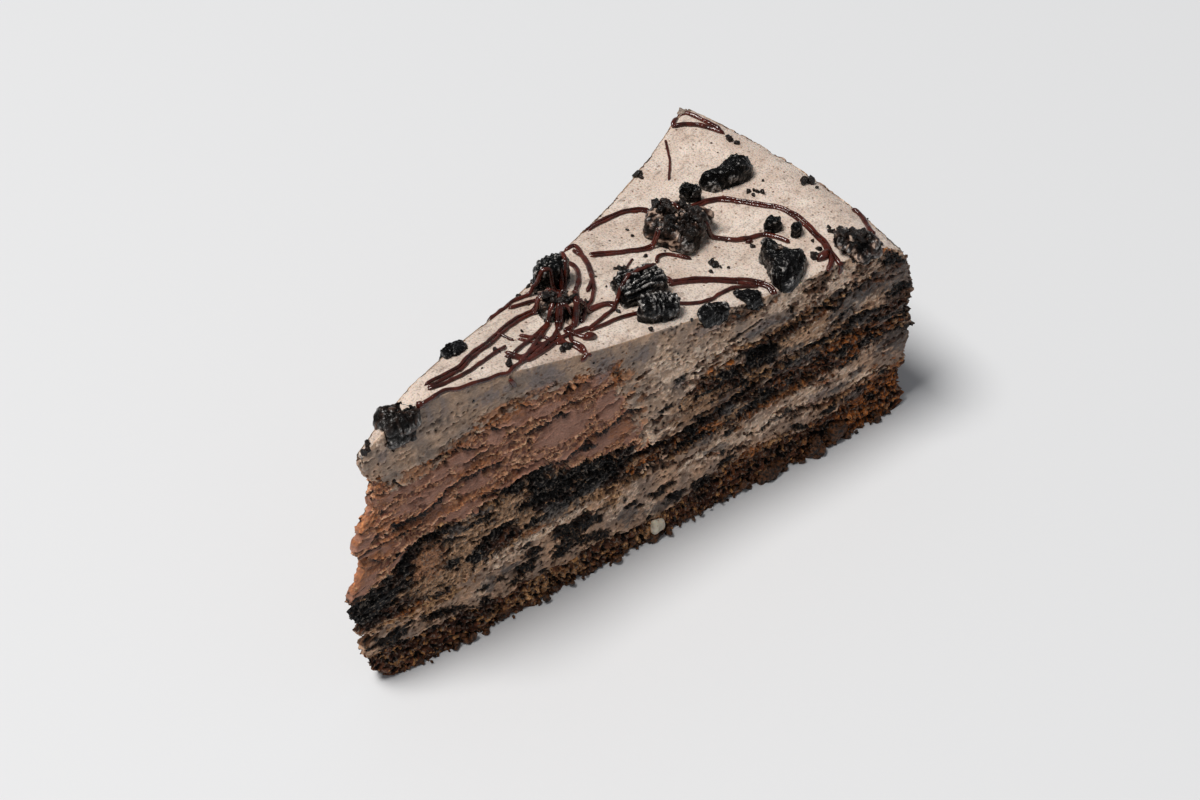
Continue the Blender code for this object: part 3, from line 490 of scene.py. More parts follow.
class Walls:
    """Columns of a layer's walls, anticlockwise from the tip: the near cut, the rim and the far cut."""

    def __init__(self, start, end):
        """Lays out the columns between two distances from the tip."""
        self.steps = max(2, round((end - start) / (2 * COLUMN)))
        self.whole_rim = end == CUT_LENGTH
        self.whole_tip = start == TIP_START
        self.rims = round(RIM_ARC / RIM_COLUMN) if self.whole_rim else BLUNT_COLUMNS
        tips = TIP_COLUMNS if self.whole_tip else BLUNT_COLUMNS
        along = np.linspace(start, end, 2 * self.steps + 1)
        over = np.linspace(-1, 1, self.rims + 1)[1:-1]
        home = along[::-2]
        back = np.linspace(1, -1, tips + 1)[1:-1]
        self.distance = np.concatenate([along, np.full(len(over), end), home, np.full(len(back), start)])
        self.share = np.concatenate([-np.ones(len(along)), over, np.ones(len(home)), back])
        self.far_first = len(along) + len(over)
        self.tip_first = self.far_first + len(home)
        self.near = self.share == -1
        self.far = self.share == 1
        self.rim = ~self.near & ~self.far & (self.distance == end)
        self.tip = ~self.near & ~self.far & (self.distance == start)
        arc = CUT_LENGTH + (self.share + 1) / 2 * RIM_ARC
        beyond = self.distance - TIP_VARIETY * (self.share + 1)
        far_run = 2 * CUT_LENGTH + RIM_ARC - self.distance
        self.run = np.where(
            self.near, self.distance, np.where(self.rim, arc, np.where(self.tip, beyond, far_run))
        )
        whole_ends = (self.rim & self.whole_rim) | (self.tip & self.whole_tip)
        self.outside = (self.near | self.far | whole_ends) * 1.0

    def sides(self, first):
        """Numbers of a row's points: near cut, far cut from the tip, and rim and tip with their corners."""
        near = first + np.arange(2 * self.steps + 1)
        far = first + self.far_first + np.arange(self.steps + 1)[::-1]
        rim = np.array([near[-1], *range(first + len(near), first + self.far_first), far[-1]])
        tip = np.array([far[0], *range(first + self.tip_first, first + len(self.share)), near[0]])
        return near, far, rim, tip

    def past_ends(self, start, end):
        """How far each column is past the places where a layer thins out, less a little."""
        past = np.zeros(len(self.distance))
        if not self.whole_tip:
            past = np.maximum(past, start + THINNING - self.distance)
        if not self.whole_rim:
            past = np.maximum(past, self.distance - end + THINNING)
        return past

    def outward(self):
        """Directions in which relief moves the columns, turned halfway at the corners."""
        angle = self.share * CUT_ANGLE / 2
        inward = np.full(len(angle), -math.sin(CUT_ANGLE / 2))
        side = np.stack([inward, self.share * math.cos(CUT_ANGLE / 2)])
        radial = np.stack([np.cos(angle), np.sin(angle)])
        tipward = np.stack([-np.ones(len(angle)), np.zeros(len(angle))])
        corner = 0.5 * ease(CUT_LENGTH - CORNER, CUT_LENGTH, self.distance)
        rim_edge = 0.5 * ease(CORNER, 0, (1 - np.abs(self.share)) / 2 * RIM_ARC)
        cut_side = np.stack([side[0], np.sign(self.share) * math.cos(CUT_ANGLE / 2)])
        on_cut = side * (1 - corner) + radial * corner
        on_rim = radial * (1 - rim_edge) + cut_side * rim_edge
        direction = np.where(self.rim, on_rim, np.where(self.tip, tipward, on_cut))
        return direction / np.linalg.norm(direction, axis=0)


def covered(place, height, patches, seed, raggedness):
    """How much of each place the patches cover, from 0 to 1, with torn edges."""
    edge = raggedness * mixed_waves(
        place, height, (1, 1.7, 1.1, seed), (0.6, 0.75, 0.6, seed + 1), (0.45, 0.36, 0.34, seed + 2)
    )
    cover = np.zeros(np.shape(place))
    for middle, level, half_length, half_height, slant in patches:
        beside = (place - middle) / half_length
        above = (height - level - slant * (place - middle)) / half_height
        away = np.hypot(beside, above)
        cover = np.maximum(cover, np.clip((1 - away - edge) / PATCH_EDGE + 0.5, 0, 1))
    return cover


def shuffled(patches, seed):
    """The same patches moved and resized a little, for the far cut."""
    dice = np.random.default_rng(seed)
    moved = []
    for middle, level, half_length, half_height, slant in patches:
        shift = dice.uniform(-5, 5)
        size = dice.uniform(0.75, 1.2)
        moved.append((middle + shift, level, half_length * size, half_height, -slant))
    return moved


def around_rim(patches):
    """Patches near the rim corner, laid along the rim's arc from both of its corners."""
    laid = []
    for middle, level, half_length, half_height, _ in patches:
        if middle > RIM_PATCHES_START:
            from_far_corner = CUT_LENGTH + RIM_ARC * 0.85 - (CUT_LENGTH - middle) * 0.6
            laid.append((2 * CUT_LENGTH - middle, level, half_length * 1.3, half_height, 0))
            laid.append((from_far_corner, level, half_length, half_height, 0))
    return laid


def mask(walls, height, patches, seed, raggedness):
    """The patches' cover over all the walls of a layer."""
    place = np.broadcast_to(walls.distance, height.shape)
    run = np.broadcast_to(walls.run, height.shape)
    near = covered(place, height, patches, seed, raggedness) * (walls.near | walls.tip)
    far = covered(place, height, shuffled(patches, seed), seed + 5, raggedness) * walls.far
    rim = covered(run, height, around_rim(patches), seed + 9, raggedness) * (walls.rim & walls.whole_rim)
    return near + far + rim


def torn_lips(place, height, cracks, seed):
    """Relief of the cracks: a lip above each one and a hollow that runs out below it."""
    depth = np.zeros(np.shape(place))
    ragged = mixed_waves(place, height * 0 + seed, (0.45, 1.6, 1, seed), (0.25, 0.6, 1, seed + 1))
    for deep, reach, route in cracks:
        line = np.array(route)
        start, end = line[0, 0], line[-1, 0]
        level = np.interp(place, line[:, 0], line[:, 1]) + ragged
        inside = ease(start - 1, start + 1, place) * ease(end + 1, end - 1, place)
        below = level - height
        hollow = -deep * np.exp(-np.maximum(below, 0) / reach) * (below > 0)
        lip = LIP_SHARE * deep * np.exp(np.minimum(below, 0) / LIP_REACH) * (below <= 0)
        depth = np.where(inside * hollow < depth, inside * hollow, depth) + inside * lip
    return depth


def crack_relief(walls, height):
    """The cracks on both cuts. The far cut has the same ones, a little way along."""
    place = np.broadcast_to(walls.distance, height.shape)
    moved = [(deep, reach, tuple((d + 4 * math.sin(7 * k), z) for d, z in route))
             for k, (deep, reach, route) in enumerate(CRACKS)]
    near = torn_lips(place, height, CRACKS, 3) * (walls.near | walls.tip)
    far = torn_lips(place, height, moved, 8) * walls.far
    return near + far


def shelves(run, height, size, deep, seed):
    """Torn flakes that overlap like shingles, each with a ragged lip over a hollow.

    Gives their relief, where their hollows are, and where their lips are.
    """
    warp = mixed_waves(
        run, height,
        (0.5, 3.2 * size, 2 * size, seed), (0.3, 0.9 * size, 0.9 * size, seed + 1),
        (0.2, 0.45 * size, 0.5 * size, seed + 2), (0.08, 0.2 * size, 0.26 * size, seed + 4),
    )
    flake = height / size + warp
    band = np.floor(flake)
    up = (flake - band) * size
    over = ease(-0.15, 0.2, waves(run / (2.3 * size), (band + 1) * 7.31, seed + 3))
    under = ease(-0.15, 0.2, waves(run / (2.3 * size), band * 7.31, seed + 3))
    hollow = over * np.exp(-(size - up) / (0.3 * size))
    lip = under * np.exp(-up / (0.14 * size + 0.1))
    line = over * np.exp(-(((size - up) / (0.1 * size + 0.2)) ** 2))
    return deep * (0.35 * lip - hollow), line, lip


def torn_crumb(run, height):
    """Torn sponge: clumps, shelves, holes and grains.

    Gives its relief, its grains' numbers, its holes and its lips.
    """
    clump = clouds(run / 3.6, height / 2.0, 11)
    shelf, line, lip = shelves(run, height, 1.8, 1.1, 15)
    near, number = grains(run / 1.25 + 0.3 * waves(run / 1.1, height, 20), height / 0.85, 21)
    hole = ease(0.55, 0.2, near) * ease(0.35, 0.5, number)
    warp = 0.7 * waves(run / 1.1, height / 0.8, 33)
    rise = 0.7 * waves(run / 0.9, height / 1.1, 34)
    fine, fine_number = grains(run / 0.75 + warp, height / 0.6 + rise, 31)
    cloud = mixed_waves(run, height, (1, 3, 1.3, 35), (0.4, 1.2, 0.8, 37))
    rubble = 0.15 + 0.85 * ease(-0.25, 0.35, cloud)
    grain = 0.3 * (0.5 - fine) + 0.5 * (fine_number - 0.5) + 0.25 * waves(run / 0.6, height / 0.5, 36)
    depth = 0.9 * clump + shelf - 0.9 * hole + rubble * grain
    return depth, fine_number, np.clip(0.85 * hole + line, 0, 1), lip


def flaked_mousse(run, height):
    """Torn mousse: smooth flakes, and rough places where they broke off.

    Gives its relief, its roughness, its cracks and its lips.
    """
    rough = ease(-0.45, 0.1, mixed_waves(run, height, (1, 6.5, 3.2, 47), (0.4, 2.2, 1.3, 48)))
    broad, broad_line, broad_lip = shelves(run, height, 3.2, 1.3, 53)
    middle, middle_line, middle_lip = shelves(run, height, 1.7, 0.95, 63)
    small, small_line, small_lip = shelves(run, height, 1.0, 0.55, 73)
    depth = 0.3 * clouds(run / 7, height / 4, 51) + broad + rough * (middle + small)
    depth = depth + rough * mixed_waves(run, height, (0.15, 0.8, 0.55, 71), (0.12, 0.4, 0.36, 72))
    line = np.clip(broad_line + rough * (0.85 * middle_line + 0.5 * small_line), 0, 1)
    lip = np.clip(broad_lip + rough * (middle_lip + 0.7 * small_lip), 0, 1)
    return depth, rough, line, lip


def smeared_cream(run, height):
    """Cream smeared by the knife: swells, soft tears, drag marks and pores.

    Gives its relief, its pores and its lips.
    """
    swell = 0.4 * clouds(run / 7, height / 4, 81) + 0.2 * clouds(run / 2.2, height / 1.5, 91)
    cloud = mixed_waves(run, height, (1, 5, 3, 98), (0.4, 1.8, 1.3, 99))
    gritty = 0.25 + 0.75 * ease(-0.2, 0.5, cloud)
    tear, line, lip = shelves(run, height, 1.7, 0.7, 85)
    tear = tear * (1 + 0.6 * ease(60, 80, run))
    torn = ease(-0.1, 0.45, mixed_waves(run, height, (1, 6, 4, 89), (0.4, 2, 1.4, 90)))
    near, number = grains(run / 1.15, height / 0.9, 82)
    pore = ease(0.42, 0.12, near) * ease(0.84, 0.9, number + 0.25 * waves(run / 5, height / 4, 86))
    fine = mixed_waves(run, height, (0.2, 0.9, 0.7, 84), (0.16, 0.45, 0.42, 87))
    drag = 0.08 * waves(run / 0.9, height / 6, 88)
    relief = swell + torn * tear + gritty * fine + drag - 0.45 * pore
    return relief, np.clip(0.8 * pore + 0.9 * torn * line, 0, 1), torn * lip


def to_seam(height, low, high):
    """How far each place is from the nearer one of two seams."""
    return np.minimum(np.abs(height - low), np.abs(high - height))


def cream_specks(run, height, low, high):
    """Crumbs of cookie in the cream, thicker near the sponge, and their size by luck."""
    place, level = run / 0.85 + 0.3 * waves(run / 0.7, height / 0.7, 97), height / 0.75
    near, number = grains(place, level, 95)
    big, big_number = grains(place / 2.1, level / 1.9, 92)
    share = 0.03 + 0.2 * waves(run / 5, height / 4, 96) + 0.22 * np.exp(-to_seam(height, low, high) / 1.6)
    share = share + 0.1 * ease(60, 90, run)
    small = ease(0.46, 0.28, near) * ease(share + 0.02, share - 0.02, number)
    large = ease(0.42, 0.3, big) * ease(0.6 * share + 0.02, 0.6 * share - 0.02, big_number)
    return np.maximum(small, large)


def layer_grid(low, high):
    """Heights of a layer's wall points, in rows from its floor to its top."""
    rows = max(4, round(float(np.max(high - low)) / ROW))
    way = np.linspace(0, 1, rows + 1)[:, None]
    return low + (high - low) * way


def strays(run, height, low, high, seed):
    """Crumbs of the next layer that the knife dragged over a seam: thick at both seams, thin further in."""
    cloud = mixed_waves(
        run, height, (0.6, 1.9, 0.9, seed), (0.5, 0.8, 0.5, seed + 1), (0.5, 9, 9, seed + 2)
    )
    return ease(0.25, 0.5, cloud - 0.22 * to_seam(height, low, high))


def calm_cream(walls, run, height):
    """Where the palette knife pressed the cream smooth: under the top edge, from the tip to the middle."""
    from_top = dome(walls.distance) - height
    calm = 0.75 * ease(7.5, 3.5, from_top + 3 * waves(run / 5, height / 5, 195))
    return calm * ease(74, 58, walls.distance) * ease(1, 9, walls.distance)


def wall_fields(walls, height, kind, floor, top):
    """Relief and masks of a layer's walls. kind is crumb, mousse or cream.

    All three reliefs are made. crumbly says where the wall is crumb, is_mousse where the rest is mousse, and
    what is left is cream. number, torn, speck, lip and hollow are masks that the materials read. The
    materials paint highlights on the lips, and shade in the hollow places: holes, crack lines, pores and
    below cracks.
    """
    run = np.broadcast_to(walls.run, height.shape)
    masks = {key: mask(walls, height, *patches) for key, patches in MASKS.items()}
    smooth = mask(walls, height, SMOOTH_PATCHES, 171, 0.3)
    crumb, number, holes, crumb_lip = torn_crumb(run, height)
    flakes, rough, lines, lip = flaked_mousse(run, height)
    cream, pores, cream_lip = smeared_cream(run, height)
    if kind == "cream":
        calm = calm_cream(walls, run, height)
        cream, pores, cream_lip = cream * (1 - 0.8 * calm), pores * (1 - calm), cream_lip * (1 - calm)
        drips = ease(0.1, 0.5, mixed_waves(run, height, (1, 1.6, 9, 196), (0.4, 0.8, 4, 197)))
        masks["smudge"] = np.clip(masks["smudge"] + calm * drips, 0, 1)
    rough, lines, lip = rough * (1 - smooth), lines * (1 - 0.85 * smooth), lip * (1 - 0.85 * smooth)
    flakes = flakes * (1 - 0.8 * smooth)
    stray = strays(run, height, floor, top, 181)
    soft = np.clip(masks["pale"] + 0.7 * masks["dusky"] + masks["light"], 0, 1)
    if kind == "crumb":
        crumbly = np.clip(1 - 0.8 * soft - masks["mousse"], 0, 1)
        is_mousse = masks["mousse"]
        masks["caramel"] = np.clip(masks["caramel"] + 0.8 * stray, 0, 1) * (1 - masks["mousse"])
        specks = np.zeros_like(height)
    elif kind == "mousse":
        masks["light"] = mask(walls, height, CREAM_SMEARS, 191, 0.8)
        crumbly = masks["black"]
        is_mousse = 1 - masks["light"]
        specks = np.zeros_like(height)
    else:
        rubble = masks["black"] + 0.8 * masks["rust_and_glow"] + 0.6 * masks["caramel"]
        crumbly = np.clip(rubble + 0.9 * masks["umber"] + stray, 0, 1)
        is_mousse = masks["mousse"]
        specks = cream_specks(run, height, floor, np.minimum(top, NO_SEAM_ABOVE))
        masks["umber"] = np.clip(masks["umber"] + 0.5 * stray, 0, 1)
    rest = flakes * is_mousse + cream * (1 - is_mousse)
    cracks = crack_relief(walls, height)
    depth = crumb * crumbly + rest * (1 - crumbly) + cracks + 0.14 * specks
    masks["number"] = number
    masks["crumbly"] = crumbly
    masks["torn"] = rough
    masks["speck"] = specks * (1 - masks["black"])
    # Lips: where the materials paint a highlight.
    masks["lip"] = crumbly * crumb_lip + (1 - crumbly) * (is_mousse * lip + (1 - is_mousse) * cream_lip)
    # Holes, crack lines, pores and the hollows below cracks: where the materials paint shade.
    dark = crumbly * holes + (1 - crumbly) * (is_mousse * lines + (1 - is_mousse) * pores)
    masks["hollow"] = np.clip(np.maximum(dark, -0.8 * cracks), 0, 1)
    return depth, masks


def gentle(places, levels):
    """The highest line that stays under the given one and is nowhere steeper than a row may be."""
    return np.min(levels[None, :] + STEEPEST * np.abs(places[:, None] - places[None, :]), axis=1)


def crests(depth):
    """How far each place stands out: 0 in a hollow, 0.5 level with its surroundings, and 1 on a crest."""
    reach = CREST_REACH
    mean = sum(np.roll(depth, step, axis=1) for step in range(-reach, reach + 1)) / (2 * reach + 1)
    padded = np.pad(mean, ((reach, reach), (0, 0)), mode="edge")
    mean = sum(padded[step : step + len(depth)] for step in range(2 * reach + 1)) / (2 * reach + 1)
    return np.clip(0.5 + (depth - mean) / CREST_HEIGHT, 0, 1)


def foot_spread(height):
    """How far the base spreads out near the floor, under the weight of the slice."""
    return FOOT_SPREAD * (1 - ease(0, FOOT_HEIGHT, height))


def wall_quads(rows, columns):
    """Four-sided faces between the rows of a closed wall."""
    row, column = np.meshgrid(np.arange(rows), np.arange(columns), indexing="ij")
    after = (column + 1) % columns
    low, high = row * columns, (row + 1) * columns
    return np.stack([low + column, low + after, high + after, high + column], -1).reshape(-1, 4)


def lid_faces(walls, first, upward):
    """Faces that close a floor or a top: rungs from cut to cut, and a fan at the rim and at the tip."""
    near, far, rim, tip = walls.sides(first)
    rungs = np.stack([near[:-1:2], near[1::2], near[2::2], far[1:], far[:-1]], -1)
    faces = [list(f) for f in rungs] + [list(rim), list(tip)]
    return faces if upward else [f[::-1] for f in faces]


def new_piece(name, points, faces, look, masks=None, smooth=True):
    """A mesh piece from points in millimetres, riding on the slice."""
    mesh = bpy.data.meshes.new(name)
    mesh.from_pydata(np.asarray(points) * MM, [], [list(map(int, f)) for f in faces])
    for key, values in (masks or {}).items():
        layer = mesh.attributes.new(key, "FLOAT", "POINT")
        layer.data.foreach_set("value", np.asarray(values, np.float32).ravel())
    mesh.polygons.foreach_set("use_smooth", np.full(len(mesh.polygons), smooth))
    mesh.materials.append(look)
    piece = bpy.data.objects.new(name, mesh)
    bpy.context.scene.collection.objects.link(piece)
    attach(piece, "root")
    return piece


def shoulder(walls):
    """How far the top edge of the walls is rounded back: most at the tip, and least near the rim."""
    along_cuts = np.minimum(0.25 + 0.6 * ease(16, 6, walls.distance), 0.1 + 0.06 * walls.distance)
    return np.where(walls.tip, TIP_SHOULDER, along_cuts)


# Places on each layer's walls where crumbs can stick, with what the wall is like there.
sites = {}


def note_sites(name, points, height, masks, showing):
    """Keeps the places of a layer's walls that show, for the crumbs that stick to them."""
    sites[name] = {
        "points": points[showing.ravel()],
        "black": masks["black"][showing],
        "crumbly": masks["crumbly"][showing],
        "warm": np.clip(masks["rust_and_glow"] + masks["caramel"], 0, 1)[showing],
        "height": height[showing],
    }


def add_layer(name, look, kind, start, end, floor, top, seams, stands=False, domed=False):
    """One layer of the cake between two distances, with a floor and a top. Seams are where others begin."""
    walls = Walls(start, end)
    distance, share = walls.distance, walls.share
    lowest, highest = floor(distance), top(distance, share)
    bottom = lowest if stands else gentle(distance, lowest) - OVERLAP
    height = layer_grid(bottom, highest if domed else OVERLAP - gentle(distance, -highest))
    depth, masks = wall_fields(walls, height, kind, seams[0](distance), seams[1](distance, share))
    beyond = walls.past_ends(start, end) + np.zeros_like(height)
    if not stands:
        beyond = beyond + np.maximum(lowest - height, 0)
    if not domed:
        beyond = beyond + np.maximum(height - highest, 0)
    depth = np.maximum(depth - SEAM_SLOPE * beyond - SEAM_CURVE * beyond**2, DEEPEST)
    # The crest mask is what the materials use to paint light on crests and shade in hollows.
    masks["crest"] = crests(depth)
    depth = depth * (0.6 + 0.4 * ease(0, TIP_CALM, distance)) * walls.outside
    if stands:
        depth = depth + foot_spread(height) * walls.outside
    if domed:
        below = highest - height
        depth = depth * (0.4 + 0.6 * ease(0, TOP_EDGE_CALM, below))
        depth = depth - shoulder(walls) * ease(SHOULDER_HEIGHT, 0, below) ** 2 * walls.outside
    x, y = plan_point(distance, share, height)
    out_x, out_y = walls.outward()
    x, y = x + out_x * depth, y + out_y * depth
    rows, columns = height.shape
    points = np.stack([x, y, height], -1).reshape(-1, 3)
    note_sites(name, points, height, masks, (beyond < 0.3) & (walls.outside > 0))
    masks = {key: np.asarray(values).ravel() for key, values in masks.items()}
    faces = [list(f) for f in wall_quads(rows - 1, columns)] + lid_faces(walls, 0, False)
    if domed:
        points, masks, extra = dome_surface(walls, points, masks, (rows - 1) * columns)
        faces += extra
    else:
        faces += lid_faces(walls, (rows - 1) * columns, True)
    return new_piece(name, points, faces, look, masks)


def spread_relief(x, y):
    """Relief of the top, spread with a palette knife: low swells, drag marks and a few pin holes."""
    swell = 0.28 * clouds(x / 13, y / 9, 201)
    drag = 0.05 * waves((x + 0.6 * y) / 9, (y - 0.6 * x) / 1.3, 203)
    near, number = grains(x / 2.6, y / 2.6, 204)
    hole = 0.3 * (number > 0.78) * np.exp(-((near / 0.16) ** 2))
    return swell + drag - hole + 0.03 * waves(x / 0.9, y / 0.9, 205)


def dome_surface(walls, points, masks, first):
    """The top cream's surface, joined to the last row of its walls."""
    count, over = walls.steps + 1, walls.rims + 1
    whole_near, far, rim, tip = walls.sides(first)
    near = whole_near[::2]
    index = np.full((count, over), -1)
    index[:, 0], index[:, -1], index[-1] = near, far, rim
    fresh = index < 0
    index[fresh] = len(points) + np.arange(fresh.sum())
    distance = np.broadcast_to(walls.distance[: 2 * count : 2, None], index.shape)
    share = np.broadcast_to(np.linspace(-1, 1, over), index.shape)
    height = top_height(distance, share)
    x, y = plan_point(distance, share, height)
    width = np.hypot(x[:, -1] - x[:, 0], y[:, -1] - y[:, 0])[:, None]
    from_near, from_far, from_rim = (share + 1) / 2 * width, (1 - share) / 2 * width, CUT_LENGTH - distance
    edges = (
        (from_near, points[near, None, :2]),
        (from_far, points[far, None, :2]),
        (from_rim, points[None, rim, :2]),
    )
    plain = np.stack([x, y], -1)
    moved = plain.copy()
    for (away, edge), whole in zip(edges, (plain[:, :1], plain[:, -1:], plain[-1:])):
        moved = moved + (edge - whole) * np.exp(-away / 1.2)[..., None]
    rounding = 0.5 * sum(np.exp(-((away / 0.7) ** 2)) for away, _ in edges)
    z = height + spread_relief(moved[..., 0], moved[..., 1]) * ease(0, 12, distance) - rounding
    surface = np.concatenate([moved, z[..., None]], -1)
    points = np.concatenate([points, surface[fresh]])
    for row, line in ((near, z[:, 0]), (far, z[:, -1]), (rim, z[-1])):
        points[row, 2] = line
    points[whole_near[1::2], 2] = (points[whole_near[:-1:2], 2] + points[whole_near[2::2], 2]) / 2
    masks = {key: np.concatenate([values, np.zeros(fresh.sum())]) for key, values in masks.items()}
    masks["top"] = np.concatenate([np.zeros(len(points) - fresh.sum()), np.ones(fresh.sum())])
    masks["top"][np.concatenate([whole_near, far, rim])] = 0.5
    quads = np.stack([index[:-1, :-1], index[1:, :-1], index[1:, 1:], index[:-1, 1:]], -1)
    first_strip = np.stack([near[:-1], whole_near[1::2], near[1:], index[1:, 1], index[:-1, 1]], -1)
    faces = [list(f) for f in first_strip] + [list(f) for f in quads[:, 1:].reshape(-1, 4)]
    return points, masks, faces + [[*tip, *index[0, 1:-1]]]


# Cookie pieces as they lie: how far each stands above the cream, how far it is sunk in it, what its face is
# like, and its corners along and across from the sharp tip.
COOKIES = {
    "cookie_long": (4.0, 1.0, "broken", (
        (104.4, 10.2), (104.6, 8.2), (107, 5.6), (110.7, 4.3), (113.8, 3.8), (115.6, 4.8), (116.6, 7),
        (113.4, 8.4), (109.6, 9.1),
    )),
    "cookie_cluster": (4.3, 1.5, "crumbly", (
        (84.6, 2), (87.3, -2.4), (89.6, -2.8), (94.4, -0.4), (96.3, 0.4), (98.4, 2.8), (98.2, 6),
        (95.1, 9.2), (92, 9.3), (87.6, 8.4), (85.6, 6.5),
    )),
    "cookie_behind_cluster": (3.5, 1.0, "broken", (
        (98.8, 10), (99.6, 8), (101.6, 6.6), (103, 7.2), (102.4, 9.1), (100.6, 10.9),
    )),
    "cookie_ribbed": (4.0, 1.0, "ribbed", (
        (63.4, -6), (66.6, -0.4), (69.8, -1), (73.3, -1.7), (75.6, -3), (75.2, -7.2), (73.6, -8.6),
        (69, -8.6), (64, -7),
    )),
    "cookie_ribbed_edge": (4.5, 1.0, "ribbed", (
        (62.6, -10), (64.6, -9.6), (68.5, -10.8), (71.4, -11.6), (72, -13.2), (69.6, -14.8),
        (66.9, -14.1), (63.8, -12.9), (62.4, -11.6),
    )),
    "cookie_slab": (4.5, 1.5, "broken", (
        (95.4, -13), (97.6, -11.4), (98.9, -12.4), (99.6, -16.5), (101.8, -18.8), (100.8, -20.2),
        (97.4, -21.8), (93.5, -22.8), (91.2, -22), (91, -19.6), (93.9, -15.8),
    )),
    "cookie_bit_back": (3.0, 0.8, "broken", (
        (102.8, -8.4), (104, -7.6), (105.6, -8.2), (106.6, -9.8), (105.4, -10.6), (103.8, -10),
    )),
    "cookie_bit_front": (2.5, 0.8, "broken", (
        (105.2, -12.8), (106.6, -12.2), (108, -13), (106.8, -14.6), (105.2, -14.2),
    )),
    "cookie_rim_corner": (3.0, 1.5, "crumbly", (
        (108.4, -20.4), (109.8, -19.6), (111.6, -21.2), (112.2, -23.8), (114.6, -25.6), (113.6, -27.6),
        (110.6, -27), (108.8, -25.2), (108, -22.6),
    )),
    "cookie_far_edge": (5.0, 1.0, "dotted", (
        (53.8, 7.4), (55.2, 9), (58, 10), (61, 10.2), (63.6, 8.8), (63.8, 6.8), (61.5, 5.4), (58, 5.2),
        (55, 6.2),
    )),
    "cookie_under_drizzle": (4.0, 1.0, "crumbly", (
        (48.8, 1.6), (51.4, 4), (53.4, 3.4), (55.2, 1), (56.2, -2), (55, -3.4), (52.2, -3.2), (51, -1.4),
        (49.8, 0),
    )),
    "cookie_tip": (0.7, 6.2, "damp", (
        (6.8, -2.4), (9, -3.2), (12, -3.8), (13, -2.4), (12.4, 0.4), (10, 1.6), (7, 1.2),
    )),
    "cookie_cut_long": (0.6, 2.6, "broken", (
        (72.6, -16), (74.6, -15), (78.8, -15.8), (80.4, -17.2), (79, -19.4), (75.8, -18.8), (72.9, -18),
    )),
    "cookie_cut_short": (0.8, 2.4, "broken", (
        (82.8, -17.4), (83.8, -15.8), (86.6, -16.8), (87.8, -19), (86.8, -21.2), (84, -20.8),
    )),
    "cookie_far_tip": (0.8, 3.0, "broken", (
        (25.4, 2.2), (28, 1.6), (31.6, 2.2), (32.4, 4.6), (29, 5.8), (26, 4.8),
    )),
}

